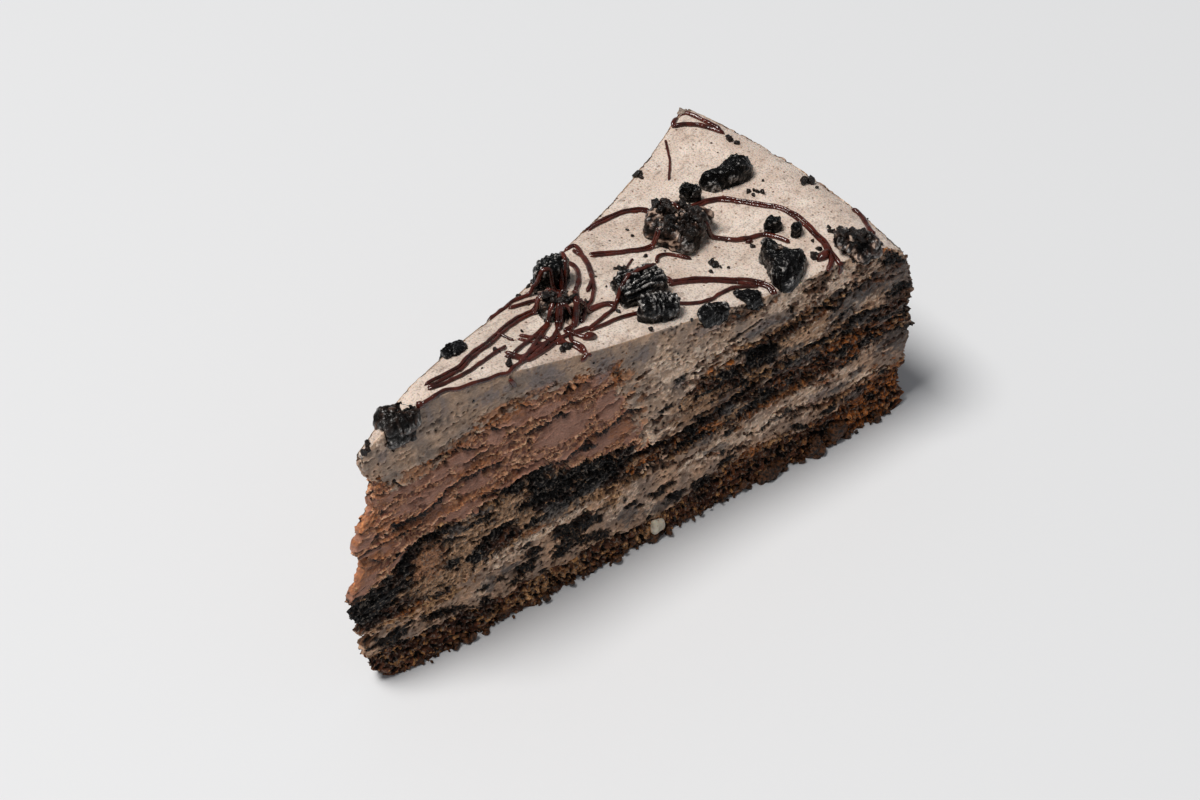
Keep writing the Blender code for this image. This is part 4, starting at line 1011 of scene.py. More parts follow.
# The drizzle: each strand's width, whether it is doubled, and the places that it passes. A place past the
# near cut hangs down it.
STRANDS = (
    (1.2, True, ((78.3, 15.8), (82, 15.9), (87.3, 15.5), (91, 13.8), (92.6, 12))),
    (1.3, True, (
        (91.8, 12.6), (93, 10.8), (94.8, 9.2), (96.8, 8), (98.8, 7), (100.6, 6.4), (102.6, 5.8), (105, 4.1),
        (107.1, 0.4), (109.3, -3.8), (110.6, -6.3), (110.8, -9.2), (110.1, -12.9), (109.2, -16),
        (108.2, -19), (106.4, -21.4),
    )),
    (1.3, False, ((108.2, -19), (107.3, -20.6), (106, -23.4), (105, -26), (104.4, -27.2))),
    (2.3, False, ((107, -20.6), (105.2, -21.4), (102.8, -21.4))),
    (1.6, False, ((106.8, -21.6), (104.8, -23.2), (102.4, -24.2))),
    (1.5, False, (
        (93.4, -0.8), (95.5, -3.6), (97, -5.7), (99.5, -7.4), (101.8, -8.6), (103.3, -11.3), (103.7, -14),
    )),
    (1.5, False, ((99.4, -8.4), (98, -7.6))),
    (1.2, True, ((71.7, 9.3), (75.2, 7.3), (78.8, 5.3), (81.6, 4), (85.4, 3.2))),
    (1.2, False, ((79.8, -0.6), (81.8, 0.6), (83.7, 0), (85, -2), (86.1, -4))),
    (1.2, False, ((62, -5.2), (64.5, -4.1), (66.9, -3.6), (69.6, -3.3), (72.7, -3.6), (75.3, -4.2))),
    (1.2, False, (
        (53.3, -7), (56.9, -7.5), (60.2, -7.9), (62.3, -8.4), (64.5, -9.3), (67.9, -10.1), (71.2, -11.1),
        (73, -12.2), (74.6, -13.4), (76.3, -14.1), (78.9, -14.8), (81.3, -14.7), (84.1, -14.9), (86.4, -16),
        (88.9, -18),
    )),
    (1.1, False, ((75.4, -4), (76.9, -4.6), (77.4, -5.8), (76.2, -7.4))),
    (1.5, True, (
        (76, -6.4), (77.4, -6.9), (80.3, -8.3), (83.6, -10.6), (86.8, -13.9), (89.5, -17), (90.4, -19.3),
        (89.8, -21.2),
    )),
    (1.2, False, ((54.2, -2.6), (57.8, -3.1), (60.4, -3.3), (62, -4.2), (62.4, -5.6))),
    (1.2, False, ((49.6, -5.6), (54, -6.4), (58, -5.9), (62.6, -5.4))),
    (0.8, False, ((72.6, 1.2), (74.8, 2.3), (77.4, 3.3))),
    (0.8, False, ((111.7, 24.1), (109.3, 21.3), (106.9, 18.8), (102.6, 15.5))),
    (1.5, False, (
        (115.9, 25.8), (119.2, 27.1), (120.9, 26.8), (121.6, 24.6), (121.9, 21.4), (121.9, 17.8),
    )),
    (1.5, False, ((115.4, 25.4), (117.6, 23.9), (119.3, 22), (120.6, 19.4), (121.4, 16.6))),
    (1.2, False, (
        (35.4, -2.5), (36.1, -4.1), (37.1, -5.4), (39.6, -5.1), (42.1, -4.8), (44.5, -4.9), (46.8, -4.7),
    )),
    (1.1, False, ((41.5, -0.3), (42.9, -2), (44.7, -3.3), (45, -5))),
    (1.3, False, ((48.9, -0.9), (46.6, -2), (43.6, -3.2), (40.1, -4.6), (37.2, -5.7), (34.5, -6.7))),
    (1.2, False, ((48.2, -3.2), (46.8, -6.3), (47, -8.3), (47.3, -10), (47.7, -10.9))),
    (1.4, False, ((49.3, -4.1), (50.2, -6.1), (51.1, -7.9), (53.1, -8.2))),
    (1.1, False, ((45, -6.1), (46.5, -6.6), (47.4, -8.6), (49, -9))),
    (1.2, False, ((56.7, 1.1), (55.4, -1.6), (52.3, -3.9), (49.3, -4.1))),
    (1.2, False, ((69.4, 13.6), (72.1, 13.2), (70.6, 10), (68.6, 6.4), (65.8, 3.5), (62.2, 1.5))),
    (1.6, False, ((123, -14.6), (122.4, -17.4), (119.3, -21.8), (118.2, -23.6))),
    (1.2, False, ((55.6, 2.6), (52.9, 0.8), (49, -0.7), (45.1, -1.8), (40.5, -2.8), (36.4, -3.7))),
    (1.3, False, ((54.8, 1.4), (50.3, -1.8), (47.5, -3.9), (43, -5.2), (39.2, -6.2), (36.6, -6.9))),
    (1.2, False, (
        (34.4, -3.4), (35.8, -5.2), (36.8, -6.6), (40.4, -6.5), (44.4, -5.9), (49.1, -5.4), (54, -6.2),
    )),
    (1.2, False, (
        (56.5, -2.2), (51, -4.6), (48.4, -6.8), (48.4, -8.8), (48, -10.2), (46.9, -11.6), (45.6, -12.4),
    )),
    (1.0, False, ((47.6, -10.8), (48, -12.2))),
    (2.4, False, ((50.2, -8), (53, -8.9))),
    (1.2, False, (
        (37.2, -6.5), (35.1, -6.5), (31.7, -6.9), (29.8, -6.5), (25.5, -5.7), (21.6, -4.8), (19.2, -3.7),
        (16.9, -3.3), (15.1, -3), (13.7, -2.6),
    )),
    (2.6, False, ((13, -2.8), (14.4, -2.7))),
    (1.1, False, ((36.9, -1.4), (35.8, -1.5), (30.5, -2.3), (25.4, -2.8), (21, -2.6), (17, -1.5))),
    (1.3, True, (
        (17.4, -0.7), (22.5, -1.2), (26.5, -0.9), (30, 0.2), (34.8, 1), (39.2, 2.3), (44.4, 3.3),
        (48.6, 3.3), (52, 2.4),
    )),
    (0.9, False, ((38.9, 2.7), (39.2, 0.9), (39.6, -1))),
    (0.9, False, ((40.5, -0.9), (41.7, -2.9), (43.4, -5))),
    (1.2, False, ((40.8, 6.8), (46.2, 7.6), (49.5, 8.2), (52.4, 7.8), (56.2, 6.4), (57.8, 4.2))),
    (1.2, False, ((46.5, 6.8), (50.4, 6.2), (53.5, 5.3), (57.2, 3.8), (59.4, 3.4))),
    (1.2, False, (
        (70.6, 12.6), (70.4, 10.6), (69.6, 8.6), (67.4, 5.4), (64.4, 1.8), (61.3, -0.5), (57.1, -2.6),
        (53.9, -4.4),
    )),
    (1.4, False, ((66.6, 11), (66.4, 8), (64, 5.2), (61.4, 3.4), (58.9, 1.6), (56.6, 0.4))),
    (1.3, False, ((59.6, 5.6), (57.6, 3.2), (55.1, 1), (51.6, -1.6), (48.6, -3.6))),
    (1.2, False, ((63, 8.8), (61, 5.8), (58.2, 3.8), (57.1, 0.4), (55.1, -2.5), (51.8, -4.6))),
    (1.1, False, ((56.1, -2.9), (59.7, -2.6), (62.2, -3.6), (63.8, -4.8))),
    (1.3, False, ((30.6, -8.4), (31, -9.6), (31.2, -11))),
    (1.0, False, ((94.8, 4.6), (95.8, 7), (94.6, 8.6))),
    (1.2, False, ((88.6, 7.4), (91, 8.4), (93.2, 7.2), (93, 4.8))),
    (1.0, False, ((52.6, 3.2), (53.4, 1), (52.2, -1.2), (52.8, -3.2))),
)

# Loose crumbs on the cream: places along and across from the sharp tip, and widths.
TOP_CRUMBS = (
    (87.3, -8, 2.4), (85.8, -9, 1.1), (88.3, -9.2, 0.8), (99.6, 20.3, 2.4), (120.5, 13.3, 2.2),
    (122.5, -4.6, 2.8), (34.8, -1.6, 1.8), (33, -6, 2), (44.9, -7.4, 2.6), (46.4, -7.2, 1.8),
    (73, 2.6, 1.8), (72.2, 3.4, 1), (79.8, 2.2, 1), (2.7, 0.2, 1.45), (3.5, 0.4, 1.4), (3.2, -0.2, 1.3),
    (88.4, -1, 3.4), (90.6, -1.8, 3.2), (94, 1, 3.4), (86.6, 2.4, 3), (92, 6.6, 3.6), (95.6, 5, 3.2),
    (89, 5.6, 3), (91, 2, 3.6), (109.6, -22, 2.8), (112, -25.6, 3), (110.4, -24.2, 2.8), (52, 2, 2.8),
    (54, -1.6, 2.6), (51.4, -1, 2.2), (111, 0.6, 1.6), (110.4, 1.6, 1.3), (112, -0.6, 1.1),
    (106, -19.4, 1.4), (104.4, -20.4, 1.7), (103, -20.2, 1.4), (98, -9.4, 1.2), (100.6, -17.6, 1.2),
    (107.2, -16.8, 1), (122, -6.6, 0.8), (43, 0.2, 0.7), (28.5, -3.6, 0.5), (115, 1.6, 0.7),
    (126.2, 6.6, 1.2), (126.6, 4.2, 1.2), (125.4, -2.6, 0.9), (89.4, -10.4, 0.7), (83.4, 8.6, 0.9),
    (84.2, 10.6, 0.7), (112.6, -16.6, 1.6), (113.6, -18.2, 1.5), (114.4, -19.4, 1.3), (112, -17.8, 1.4),
    (115.2, -20.6, 1.4), (116.4, -25.4, 1.5), (115.6, -24.4, 1.4), (117, -26, 1.2), (62.6, -13.6, 1.1),
    (56.6, 10.6, 1.6), (55.4, 10, 1.3), (51.6, 9, 1.3), (43.6, 7.6, 1),
)

# Crumbs heaped on the cookies: along and across from the sharp tip, how far they spread, and how many.
CRUMB_HEAPS = (
    (91.4, 3, 5.4, 70), (52.8, 0, 3.4, 36), (111.4, -24, 3.2, 30), (64, 1, 5, 8), (100, -14, 5, 8),
)
# A crumb at least as wide as the first lies there in three bits. One wider than the second has a finer mesh,
# and one narrower than the third a coarser one.
BROKEN_CRUMB = 1.5
LARGE_CRUMB = 1.3
TINY_CRUMB = 0.7

# How wide the flat top of a cookie piece is, as a share of the piece.
CROWN_WIDTH = 0.76
# The ribs of a pressed biscuit: how far apart they are, and which way they run on the two pieces.
RIB_SPACING = 0.95
RIB_TURNS = (math.radians(-20), math.radians(75))

# A strand's places are this far apart. It hangs down the near cut from this distance on, in line with the
# wall at this level. The surface under a thing is looked for from above everything.
STRAND_STEP = 0.4
HANG_START = 14.0
HANG_LEVEL = 40.0
ABOVE_ALL = 90.0


def lumps(points, seed):
    """Smooth noise in space from -1 to 1, with lumps one unit long."""
    cell = np.floor(points)
    part = points - cell
    share = part * part * (3 - 2 * part)
    total = 0.0
    for corner in np.ndindex(2, 2, 2):
        at = cell + np.array(corner)
        value = scramble(at[..., 0] + 157 * at[..., 2], at[..., 1] - 311 * at[..., 2], seed)
        total = total + value * np.prod(np.where(np.array(corner) == 1, share, 1 - share), -1)
    return 2 * total - 1


def space_grains(points, seed):
    """Grains in space, one a unit: the distance to the nearest one's middle, and its random number."""
    cell = np.floor(points)
    nearest = np.full(points.shape[:-1], 9.0)
    number = np.zeros(points.shape[:-1])
    for step in np.ndindex(3, 3, 3):
        at = cell + np.array(step) - 1
        column, row = at[..., 0] + 157 * at[..., 2], at[..., 1] - 311 * at[..., 2]
        jitter = np.stack([scramble(column, row, seed + k) for k in range(3)], -1)
        away = np.linalg.norm(points - at - 0.1 - 0.8 * jitter, axis=-1)
        closer = away < nearest
        nearest = np.where(closer, away, nearest)
        number = np.where(closer, scramble(column, row, seed + 3), number)
    return nearest, number


def reach_of(corners, centre, angles):
    """How far an outline is from its centre in each direction."""
    arms = np.array(corners) - centre
    reach = np.zeros(len(angles))
    for a, b in zip(arms, np.roll(arms, -1, axis=0)):
        side = b - a
        turn = np.cos(angles) * side[1] - np.sin(angles) * side[0]
        # A direction along the side never meets it: the distance is endless, and it doesn't count as a hit.
        with np.errstate(divide="ignore", invalid="ignore"):
            distance = (a[0] * side[1] - a[1] * side[0]) / turn
            step = np.stack([np.cos(angles) * distance - a[0], np.sin(angles) * distance - a[1]], -1)
            place = step @ side / (side @ side)
        hit = (distance > 0) & (place >= -1e-6) & (place <= 1 + 1e-6)
        reach = np.where(hit, np.maximum(reach, distance), reach)
    return reach


def grid_normals(grid):
    """Outward normals of a closed grid whose rows rise round the piece."""
    along = np.roll(grid, -1, axis=1) - np.roll(grid, 1, axis=1)
    up = np.gradient(grid, axis=0)
    normal = np.cross(along, up)
    return normal / (np.linalg.norm(normal, axis=-1, keepdims=True) + 1e-9)


def broken_relief(points, seed):
    """The face of a broken biscuit: flat breaks, and grains as close as sand."""
    facet, tilt = space_grains(points / 2.2, seed)
    coarse, _ = space_grains(points / 1.05, seed + 5)
    fine, number = space_grains(points / 0.6, seed + 11)
    relief = 0.6 * (tilt - 0.5) - 0.3 * facet + 0.3 * (0.5 - coarse)
    relief = relief + 0.22 * (0.5 - fine) + 0.12 * (number - 0.5)
    return relief + 0.15 * lumps(points / 1.3, seed + 21), number


def crumbly_relief(points, seed):
    """Small crumbs of every kind, stuck together."""
    clump, number = space_grains(points / 1.25, seed)
    small, fine_number = space_grains(points / 0.62, seed + 11)
    relief = 0.6 * (0.55 - clump) + 0.7 * (number - 0.5) + 0.25 * (0.5 - small) + 0.2 * (fine_number - 0.5)
    return relief + 1.3 * lumps(points / 2.8, seed + 21), 0.4 * number + 0.6 * fine_number


def ribbed_relief(points, seed):
    """The pressed face of a biscuit: short ribs in rows, and the grain of the biscuit between them."""
    turn = RIB_TURNS[seed % len(RIB_TURNS)]
    across = points[..., 0] * math.cos(turn) + points[..., 1] * math.sin(turn)
    along = points[..., 1] * math.cos(turn) - points[..., 0] * math.sin(turn)
    across = across + 0.25 * waves(points[..., 0] / 3, points[..., 1] / 3, seed)
    row = np.floor(across / RIB_SPACING)
    rib = np.cos(2 * math.pi * (across / RIB_SPACING - 0.5)) * 0.5 + 0.5
    broken = ease(-0.5, 0.0, waves(along / 1.5, row * 3.7, seed + 3))
    fine, number = space_grains(points / 0.7, seed + 11)
    return 0.9 * rib * broken - 0.35 + 0.16 * (0.5 - fine) + 0.35 * lumps(points / 2.2, seed + 21), number


def dotted_relief(points, seed):
    """A pressed face with rows of small knobs."""
    knob, number = grains(points[..., 0] / 0.95, points[..., 1] / 0.95, seed)
    fine, _ = space_grains(points / 0.6, seed + 11)
    relief = 0.55 * np.exp(-((knob / 0.4) ** 2)) + 0.12 * (0.5 - fine)
    return relief + 0.25 * lumps(points / 2.2, seed + 21), number


# The relief of each face that isn't plainly broken.
RELIEFS = {
    "crumbly": crumbly_relief,
    "damp": crumbly_relief,
    "ribbed": ribbed_relief,
    "dotted": dotted_relief,
}


def cookie_rows(rise, sink, crown_rows, wall_rows):
    """Levels of a cookie piece's rows, from its middle below to its middle on top, and their widths."""
    knots = np.array([
        (-sink, 0.86), (-sink / 3, 1), (0.4 * rise, 1), (0.75 * rise, 0.93), (rise, CROWN_WIDTH)
    ])
    run = np.concatenate([[0], np.cumsum(np.hypot(np.diff(knots[:, 0]), 4 * np.diff(knots[:, 1])))])
    way = np.linspace(0, run[-1], wall_rows)
    crown = np.linspace(knots[-1, 1], 0.01, crown_rows + 1)[1:]
    level = np.concatenate([[-sink, -sink], np.interp(way, run, knots[:, 0]), np.full(crown_rows, rise)])
    width = np.concatenate([[0.02, 0.45], np.interp(way, run, knots[:, 1]), crown])
    return level, width


def cookie_grid(index, rise, level, reach, width, angles, centre):
    """The piece before its relief: its outline row by row, laid on the cream, arched and a little swollen."""
    directions = np.stack([np.cos(angles), np.sin(angles)], -1)
    plan = directions[None] * (reach[None, :] * width[:, None])[..., None]
    plan = plan + centre
    own_place = np.full(plan.shape[:2], float(index))
    swell = lumps(np.stack([plan[..., 0] / 4.2, plan[..., 1] / 4.2, own_place], -1), 301)
    crown = ease(0.3 * rise, rise, level)[:, None]
    arch = 0.12 * rise * (1 - np.minimum(width / CROWN_WIDTH, 1) ** 2)[:, None] * crown
    z = height_above(plan[..., 0], plan[..., 1]) + level[:, None] + arch
    z = z + 0.25 * min(rise, 4) * swell * crown
    return np.stack([plan[..., 0] + TIP_X, plan[..., 1] + TIP_Y, z], -1)


def cookie_relief(grid, index, face, rise, level):
    """Relief of a piece that is broken all round, with its own face on top, and its grains' numbers."""
    place = grid + 7.0 * index
    relief, number = broken_relief(place, 400 + index)
    if face != "broken":
        face_relief, face_number = RELIEFS[face](place, 430 + index)
        all_over = face in ("crumbly", "damp")
        on_face = 1.0 if all_over else ease(0.55 * rise, 0.95 * rise, level)[:, None]
        relief = relief + (face_relief - relief) * on_face
        number = number + (face_number - number) * on_face
    return relief, number


def add_cookie(index, name, rise, sink, face, corners, look):
    """One broken cookie piece, in the place of its solid."""
    turns, crown_rows, wall_rows = ((96, 19, 15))
    centre = np.mean(corners, axis=0)
    angles = np.linspace(0, 2 * math.pi, turns, endpoint=False)
    reach = reach_of(corners, centre, angles)
    reach = (np.roll(reach, 1) + 2 * reach + np.roll(reach, -1)) / 4
    level, width = cookie_rows(rise, sink, crown_rows, wall_rows)
    grid = cookie_grid(index, rise, level, reach, width, angles, centre)
    relief, number = cookie_relief(grid, index, face, rise, level)
    calm = ease(0.02, 0.2, width)[:, None]
    grid = grid + grid_normals(grid) * (relief * calm)[..., None]
    grid[0] = grid[0].mean(0)
    grid[-1] = grid[-1].mean(0)
    rows = len(grid)
    points = grid.reshape(-1, 3)
    faces = [list(f) for f in wall_quads(rows - 1, turns)]
    faces += [list(range(turns))[::-1], list(range((rows - 1) * turns, rows * turns))]
    # ridge and hollow say where the biscuit's material paints a highlight and a shade.
    ridge = np.clip(4 * (crests(relief) - 0.5), 0, 1)
    masks = {"number": number, "hollow": np.clip(-relief / 0.5, 0, 1), "ridge": ridge}
    piece = new_piece(name + "_crumb", points, faces, look, masks)
    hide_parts(name)
    return piece


def rounded_route(places, step):
    """Places on a curve that passes through all the given ones, about a step apart."""
    points = [np.array(p, float) for p in places]
    ends = [2 * points[0] - points[1], *points, 2 * points[-1] - points[-2]]
    route = []
    for a, b, c, d in zip(ends, ends[1:], ends[2:], ends[3:]):
        pieces = max(1, round(np.linalg.norm(c - b) / step))
        for t in np.arange(pieces) / pieces:
            place = 2 * b + (c - a) * t + (2 * a - 5 * b + 4 * c - d) * t**2
            place = place + (3 * b - a - 3 * c + d) * t**3
            route.append(0.5 * place)
    return np.array([*route, points[-1]])


def surface_tree(pieces):
    """A tree of the pieces' faces in millimetres, on which drizzle and crumbs are laid."""
    points, faces = [], []
    for piece in pieces:
        mesh = piece.data
        first = len(points)
        places = np.zeros(len(mesh.vertices) * 3)
        mesh.vertices.foreach_get("co", places)
        points.extend(map(tuple, places.reshape(-1, 3) / MM))
        faces.extend([first + i for i in polygon.vertices] for polygon in mesh.polygons)
    return BVHTree.FromPolygons(points, faces)


def lie_on(tree, along, across):
    """Where a thing lies at a place along and across: on the surface below it, or down the near cut."""
    angle = math.atan2(across, along)
    past = (-CUT_ANGLE / 2 - angle) * math.hypot(along, across)
    if past > 0 and along > HANG_START:
        distance = math.hypot(along, across)
        x, y = plan_point(distance, -1.0, HANG_LEVEL)
        return np.array([x + 0.15, y - 0.35, float(height_above(along, across)) - 1.05 * past])
    hit = tree.ray_cast(Vector((TIP_X + along, TIP_Y + across, ABOVE_ALL)), Vector((0, 0, -1)))[0]
    height = hit.z if hit else float(height_above(along, across))
    return np.array([TIP_X + along, TIP_Y + across, height])


def settled(route, window):
    """A soft strand's own line over a bumpy surface: smoothed, but never below the surface."""
    line = route.copy()
    kernel = np.hanning(window + 2)[1:-1]
    kernel /= kernel.sum()
    padded = np.pad(route[:, 2], window // 2, mode="edge")
    line[:, 2] = np.maximum(np.convolve(padded, kernel, "valid")[: len(route)], route[:, 2] - 0.15)
    return line


def tube(line, radii, sides):
    """Points and faces of a closed tube with round ends, along a line with a radius for each place."""
    ahead = np.gradient(line, axis=0)
    ahead /= np.linalg.norm(ahead, axis=1, keepdims=True) + 1e-9
    side = np.cross(ahead, (0, 0, 1))
    side /= np.linalg.norm(side, axis=1, keepdims=True) + 1e-9
    up = np.cross(side, ahead)
    turn = 2 * math.pi * np.arange(sides) / sides
    ring = side[:, None] * np.cos(turn)[None, :, None] + up[:, None] * np.sin(turn)[None, :, None]
    points = line[:, None] + ring * radii[:, None, None]
    faces = [list(f) for f in wall_quads(len(line) - 1, sides)]
    last = (len(line) - 1) * sides
    return points.reshape(-1, 3), faces + [list(range(sides))[::-1], [last + k for k in range(sides)]]


def strand_meshes(tree, index, width, doubled, places):
    """One strand of drizzle, or two side by side that part and meet again."""
    flat_line = rounded_route(places, STRAND_STEP)
    ahead = np.gradient(flat_line, axis=0)
    beside = np.stack([-ahead[:, 1], ahead[:, 0]], -1)
    beside /= np.linalg.norm(beside, axis=1, keepdims=True) + 1e-9
    run = np.arange(len(flat_line)) * STRAND_STEP
    tubes = []
    for number, offset in enumerate((-0.3, 0.34) if doubled else (0.0,)):
        seed = 500 + 2 * index + number
        sway = offset * width * (1 + 0.5 * waves(run / 6, run * 0, seed))
        sway = sway + 0.1 * waves(run / 2.3, run * 0, seed + 40)
        line = np.array([lie_on(tree, *place) for place in flat_line + beside * sway[:, None]])
        line = settled(line, 7)
        thick = 0.27 if doubled else 0.36
        radius = width * thick * (1 + 0.16 * waves(run / 1.7, run * 0 + 5, seed + 80))
        to_end = np.minimum(run, run[-1] - run)
        radius = radius * np.sqrt(np.clip(to_end / (0.45 * width), 0.04, 1))
        line[:, 2] += 0.45 * radius
        tubes.append(tube(line, radius, 10))
    return tubes


def joined(parts):
    """Several sets of points and faces as one."""
    points, faces, first = [], [], 0
    for some_points, some_faces in parts:
        points.append(some_points)
        faces.extend([first + i for i in face] for face in some_faces)
        first += len(some_points)
    return np.concatenate(points), faces


def crumb_shape(dice, width, level):
    """A crumb: a ball squeezed, dented, and broken flat on several sides at random."""
    points, faces = BALLS[level]
    dents = 0.3 * lumps(points * 1.6 + dice.uniform(0, 90, 3), 601)
    dents = dents + 0.25 * lumps(points * 3.5 + dice.uniform(0, 90, 3), 602)
    points = points * (1.1 + dents)[:, None] * dice.uniform(0.7, 1.2, 3)
    for _ in range(6):
        way = dice.normal(size=3)
        way /= np.linalg.norm(way)
        past = np.maximum(points @ way - dice.uniform(0.4, 0.8), 0)
        points = points - past[:, None] * way
    return points * width / 2, faces


def crumb_width(dice, least, spread):
    """A crumb's width by luck. Small ones are the most common."""
    return least + spread * dice.random() ** 2


def add_crumbs(name, parts, look, smooth=True):
    """Many crumbs or tubes as one piece."""
    points, faces = joined(parts)
    return new_piece(name, points, faces, look, smooth=smooth)


def ball(level):
    """Points and faces of a ball made of triangles."""
    shape = bmesh.new()
    bmesh.ops.create_icosphere(shape, subdivisions=level, radius=1.0)
    points = np.array([v.co for v in shape.verts])
    faces = [[v.index for v in f.verts] for f in shape.faces]
    shape.free()
    return points, faces


# Balls of rising fineness, from which crumbs, lumps and beads are made.
BALLS = {level: ball(level) for level in (1, 2, 3, 5)}

# Real crumb has finer grain than this, in millimetres. It is drawn as coarse as a picture needs.
FINE_GRAIN = 0.4
# Painted highlights: lighter colours painted on the lips of the cut where they would catch the light, glints
# painted on damp sponge, and a pale highlight painted on the ridges of broken biscuit.
SPONGE_LIP_HIGHLIGHT = "8A664C"
MOUSSE_LIP_HIGHLIGHT = "D4A584"
CREAM_LIP_HIGHLIGHT = "CCB49E"
SPONGE_PAINTED_GLINT = "94887C"
BISCUIT_RIDGE_HIGHLIGHT = "B2ADA9"


def linear(code):
    """A linear colour from an sRGB hex code."""
    parts = [int(code[i:i + 2], 16) / 255 for i in (0, 2, 4)]
    return [p / 12.92 if p <= 0.04045 else ((p + 0.055) / 1.055) ** 2.4 for p in parts] + [1.0]


def add(tree, kind, wires=None, values=None, **settings):
    """One shader node. Values are its fixed inputs, and wires are its inputs that another node feeds."""
    node = tree.nodes.new("ShaderNode" + kind)
    for key, value in settings.items():
        setattr(node, key, value)
    for key, value in (values or {}).items():
        node.inputs[key].default_value = value
    for key, source in (wires or {}).items():
        tree.links.new(source, node.inputs[key])
    return node


def new_look(name, roughness, ior=1.45, **sockets):
    """A material with its shader, and coordinates in millimetres that the patterns share."""
    look = bpy.data.materials.new(name)
    look.use_nodes = True
    tree = look.node_tree
    shader = tree.nodes["Principled BSDF"]
    shader.inputs["Roughness"].default_value = roughness
    shader.inputs["IOR"].default_value = ior
    for key, value in sockets.items():
        shader.inputs[key.replace("_", " ")].default_value = value
    place = add(tree, "TexCoord").outputs["Object"]
    place = add(tree, "Mapping", {"Vector": place}, {"Scale": (1000, 1000, 1000)}).outputs["Vector"]
    return look, tree, shader, place


def blended(tree, share, under, over):
    """Two colours mixed by a share. Each colour is a hex code or an output."""
    wires, values = {0: share}, {}
    for socket, colour in ((6, under), (7, over)):
        if isinstance(colour, str):
            values[socket] = linear(colour)
        else:
            wires[socket] = colour
    return add(tree, "Mix", wires, values, data_type="RGBA").outputs[2]


def sharpened(tree, share, low, high):
    """A share with a crisp edge: none below one level, and all above the other."""
    return add(tree, "MapRange", {"Value": share}, {"From Min": low, "From Max": high}).outputs[0]


def speckled(tree, place, size, low, high, detail=2.0):
    """A noise of blotches of a size in millimetres, stretched to run from 0 to 1 between two levels."""
    cloud = add(tree, "TexNoise", {"Vector": place}, {"Scale": 1 / size, "Detail": detail})
    return sharpened(tree, cloud.outputs[0], low, high)


def overlap(tree, share, other):
    """Where two shares hold at once."""
    return add(tree, "Math", {0: share, 1: other}, operation="MULTIPLY").outputs[0]


def fine_grain(tree, place):
    """The finest grain of a cut, and the same around zero, which makes the edges of its masks ragged."""
    fine = speckled(tree, place, FINE_GRAIN, 0.3, 0.7, 3)
    return fine, add(tree, "Math", {0: fine}, {1: 0.5}, operation="SUBTRACT").outputs[0]


def tinted(tree, colour, share, strength, code):
    """A colour with another one over it, by a share made weaker."""
    return blended(tree, faded(tree, share, strength), colour, code)


def own_mask(tree, key):
    """A mask of the mesh as it is."""
    return add(tree, "Attribute", attribute_name=key).outputs["Fac"]


def masked(tree, key, ragged):
    """A mask of the mesh with a finer ragged edge than its grid can hold."""
    own = own_mask(tree, key)
    both = add(tree, "Math", {0: own, 1: ragged}, operation="MULTIPLY_ADD", use_clamp=True)
    tree.links.new(own, both.inputs[2])
    return both.outputs[0]


# The masks in the order in which their colours cover one another. Each has its darkest and lightest grain,
# and how strongly it colours its places.
STAINS = (
    ("light", "CAA688", "F2D8C2", 0.85),
    ("pale", "8E6A4C", "D4A884", 0.9),
    ("mousse", "966A50", "B8845E", 1.0),
    ("caramel", "744A2C", "D4A474", 0.8),
    ("rust_and_glow", "32180C", "B4682E", 0.85),
    ("smudge", "6A6264", "7E767A", 0.55),
    ("dusky", "3E3A3A", "6E6864", 0.85),
    ("umber", "140A07", "5A3420", 0.8),
    ("black", "010101", "080809", 1.0),
)
MOUSSE_STAINS = (
    ("light", "907C6A", "B8A590", 0.8),
    ("rust_and_glow", "6A3A1E", "B4703C", 0.7),
    ("smudge", "6A6264", "7E767A", 0.55),
    ("umber", "140A07", "5A3420", 0.7),
    ("black", "010101", "080809", 1.0),
)
# Painted shade: the near black painted inside the holes and cracks of sponge, where light doesn't reach.
HOLLOW_SHADE = "070302"


def crisp_mask(tree, key, ragged, low, high):
    """A ragged mask with a crisp edge between two levels."""
    return sharpened(tree, masked(tree, key, ragged), low, high)


def stained(tree, colour, ragged, stains):
    """A colour with the masks' colours over it, grain by grain."""
    number = own_mask(tree, "number")
    for key, dark, light, strength in stains:
        share = faded(tree, masked(tree, key, ragged), strength)
        colour = blended(tree, share, colour, blended(tree, number, dark, light))
    return colour


def faded(tree, share, strength):
    """A share made weaker."""
    return add(tree, "Math", {0: share}, {1: strength}, operation="MULTIPLY").outputs[0]


def grained(tree, colour, fine, low, high):
    """A colour that is darker and lighter from grain to grain. Fed the crest mask, it paints light on crests
    and shade in hollows.
    """
    value = add(tree, "MapRange", {"Value": fine}, {"To Min": low, "To Max": high}).outputs[0]
    return add(tree, "HueSaturation", {"Color": colour, "Value": value}).outputs[0]


def grainy_colour(tree, colour, grain_dark, grain_light, share):
    """A colour with single grains picked out, lighter or darker, where the wall is crumbly."""
    number = own_mask(tree, "number")
    grain = blended(tree, number, grain_dark, grain_light)
    picked = overlap(tree, sharpened(tree, number, share, share + 0.05), own_mask(tree, "crumbly"))
    return blended(tree, picked, colour, grain)


def glow(shader, share, depth):
    """Light that goes into soft cream and comes out again, redder, within a depth in millimetres."""
    shader.inputs["Subsurface Weight"].default_value = share
    shader.inputs["Subsurface Radius"].default_value = (1.0, 0.5, 0.3)
    shader.inputs["Subsurface Scale"].default_value = depth * MM


def finished(look, tree, shader, colour, height, depth):
    """A material with its colour, and with relief too fine for the mesh, its depth in millimetres."""
    tree.links.new(colour, shader.inputs["Base Color"])
    bump = add(tree, "Bump", {"Height": height}, {"Strength": 1.0, "Distance": depth * MM})
    tree.links.new(bump.outputs[0], shader.inputs["Normal"])
    return look


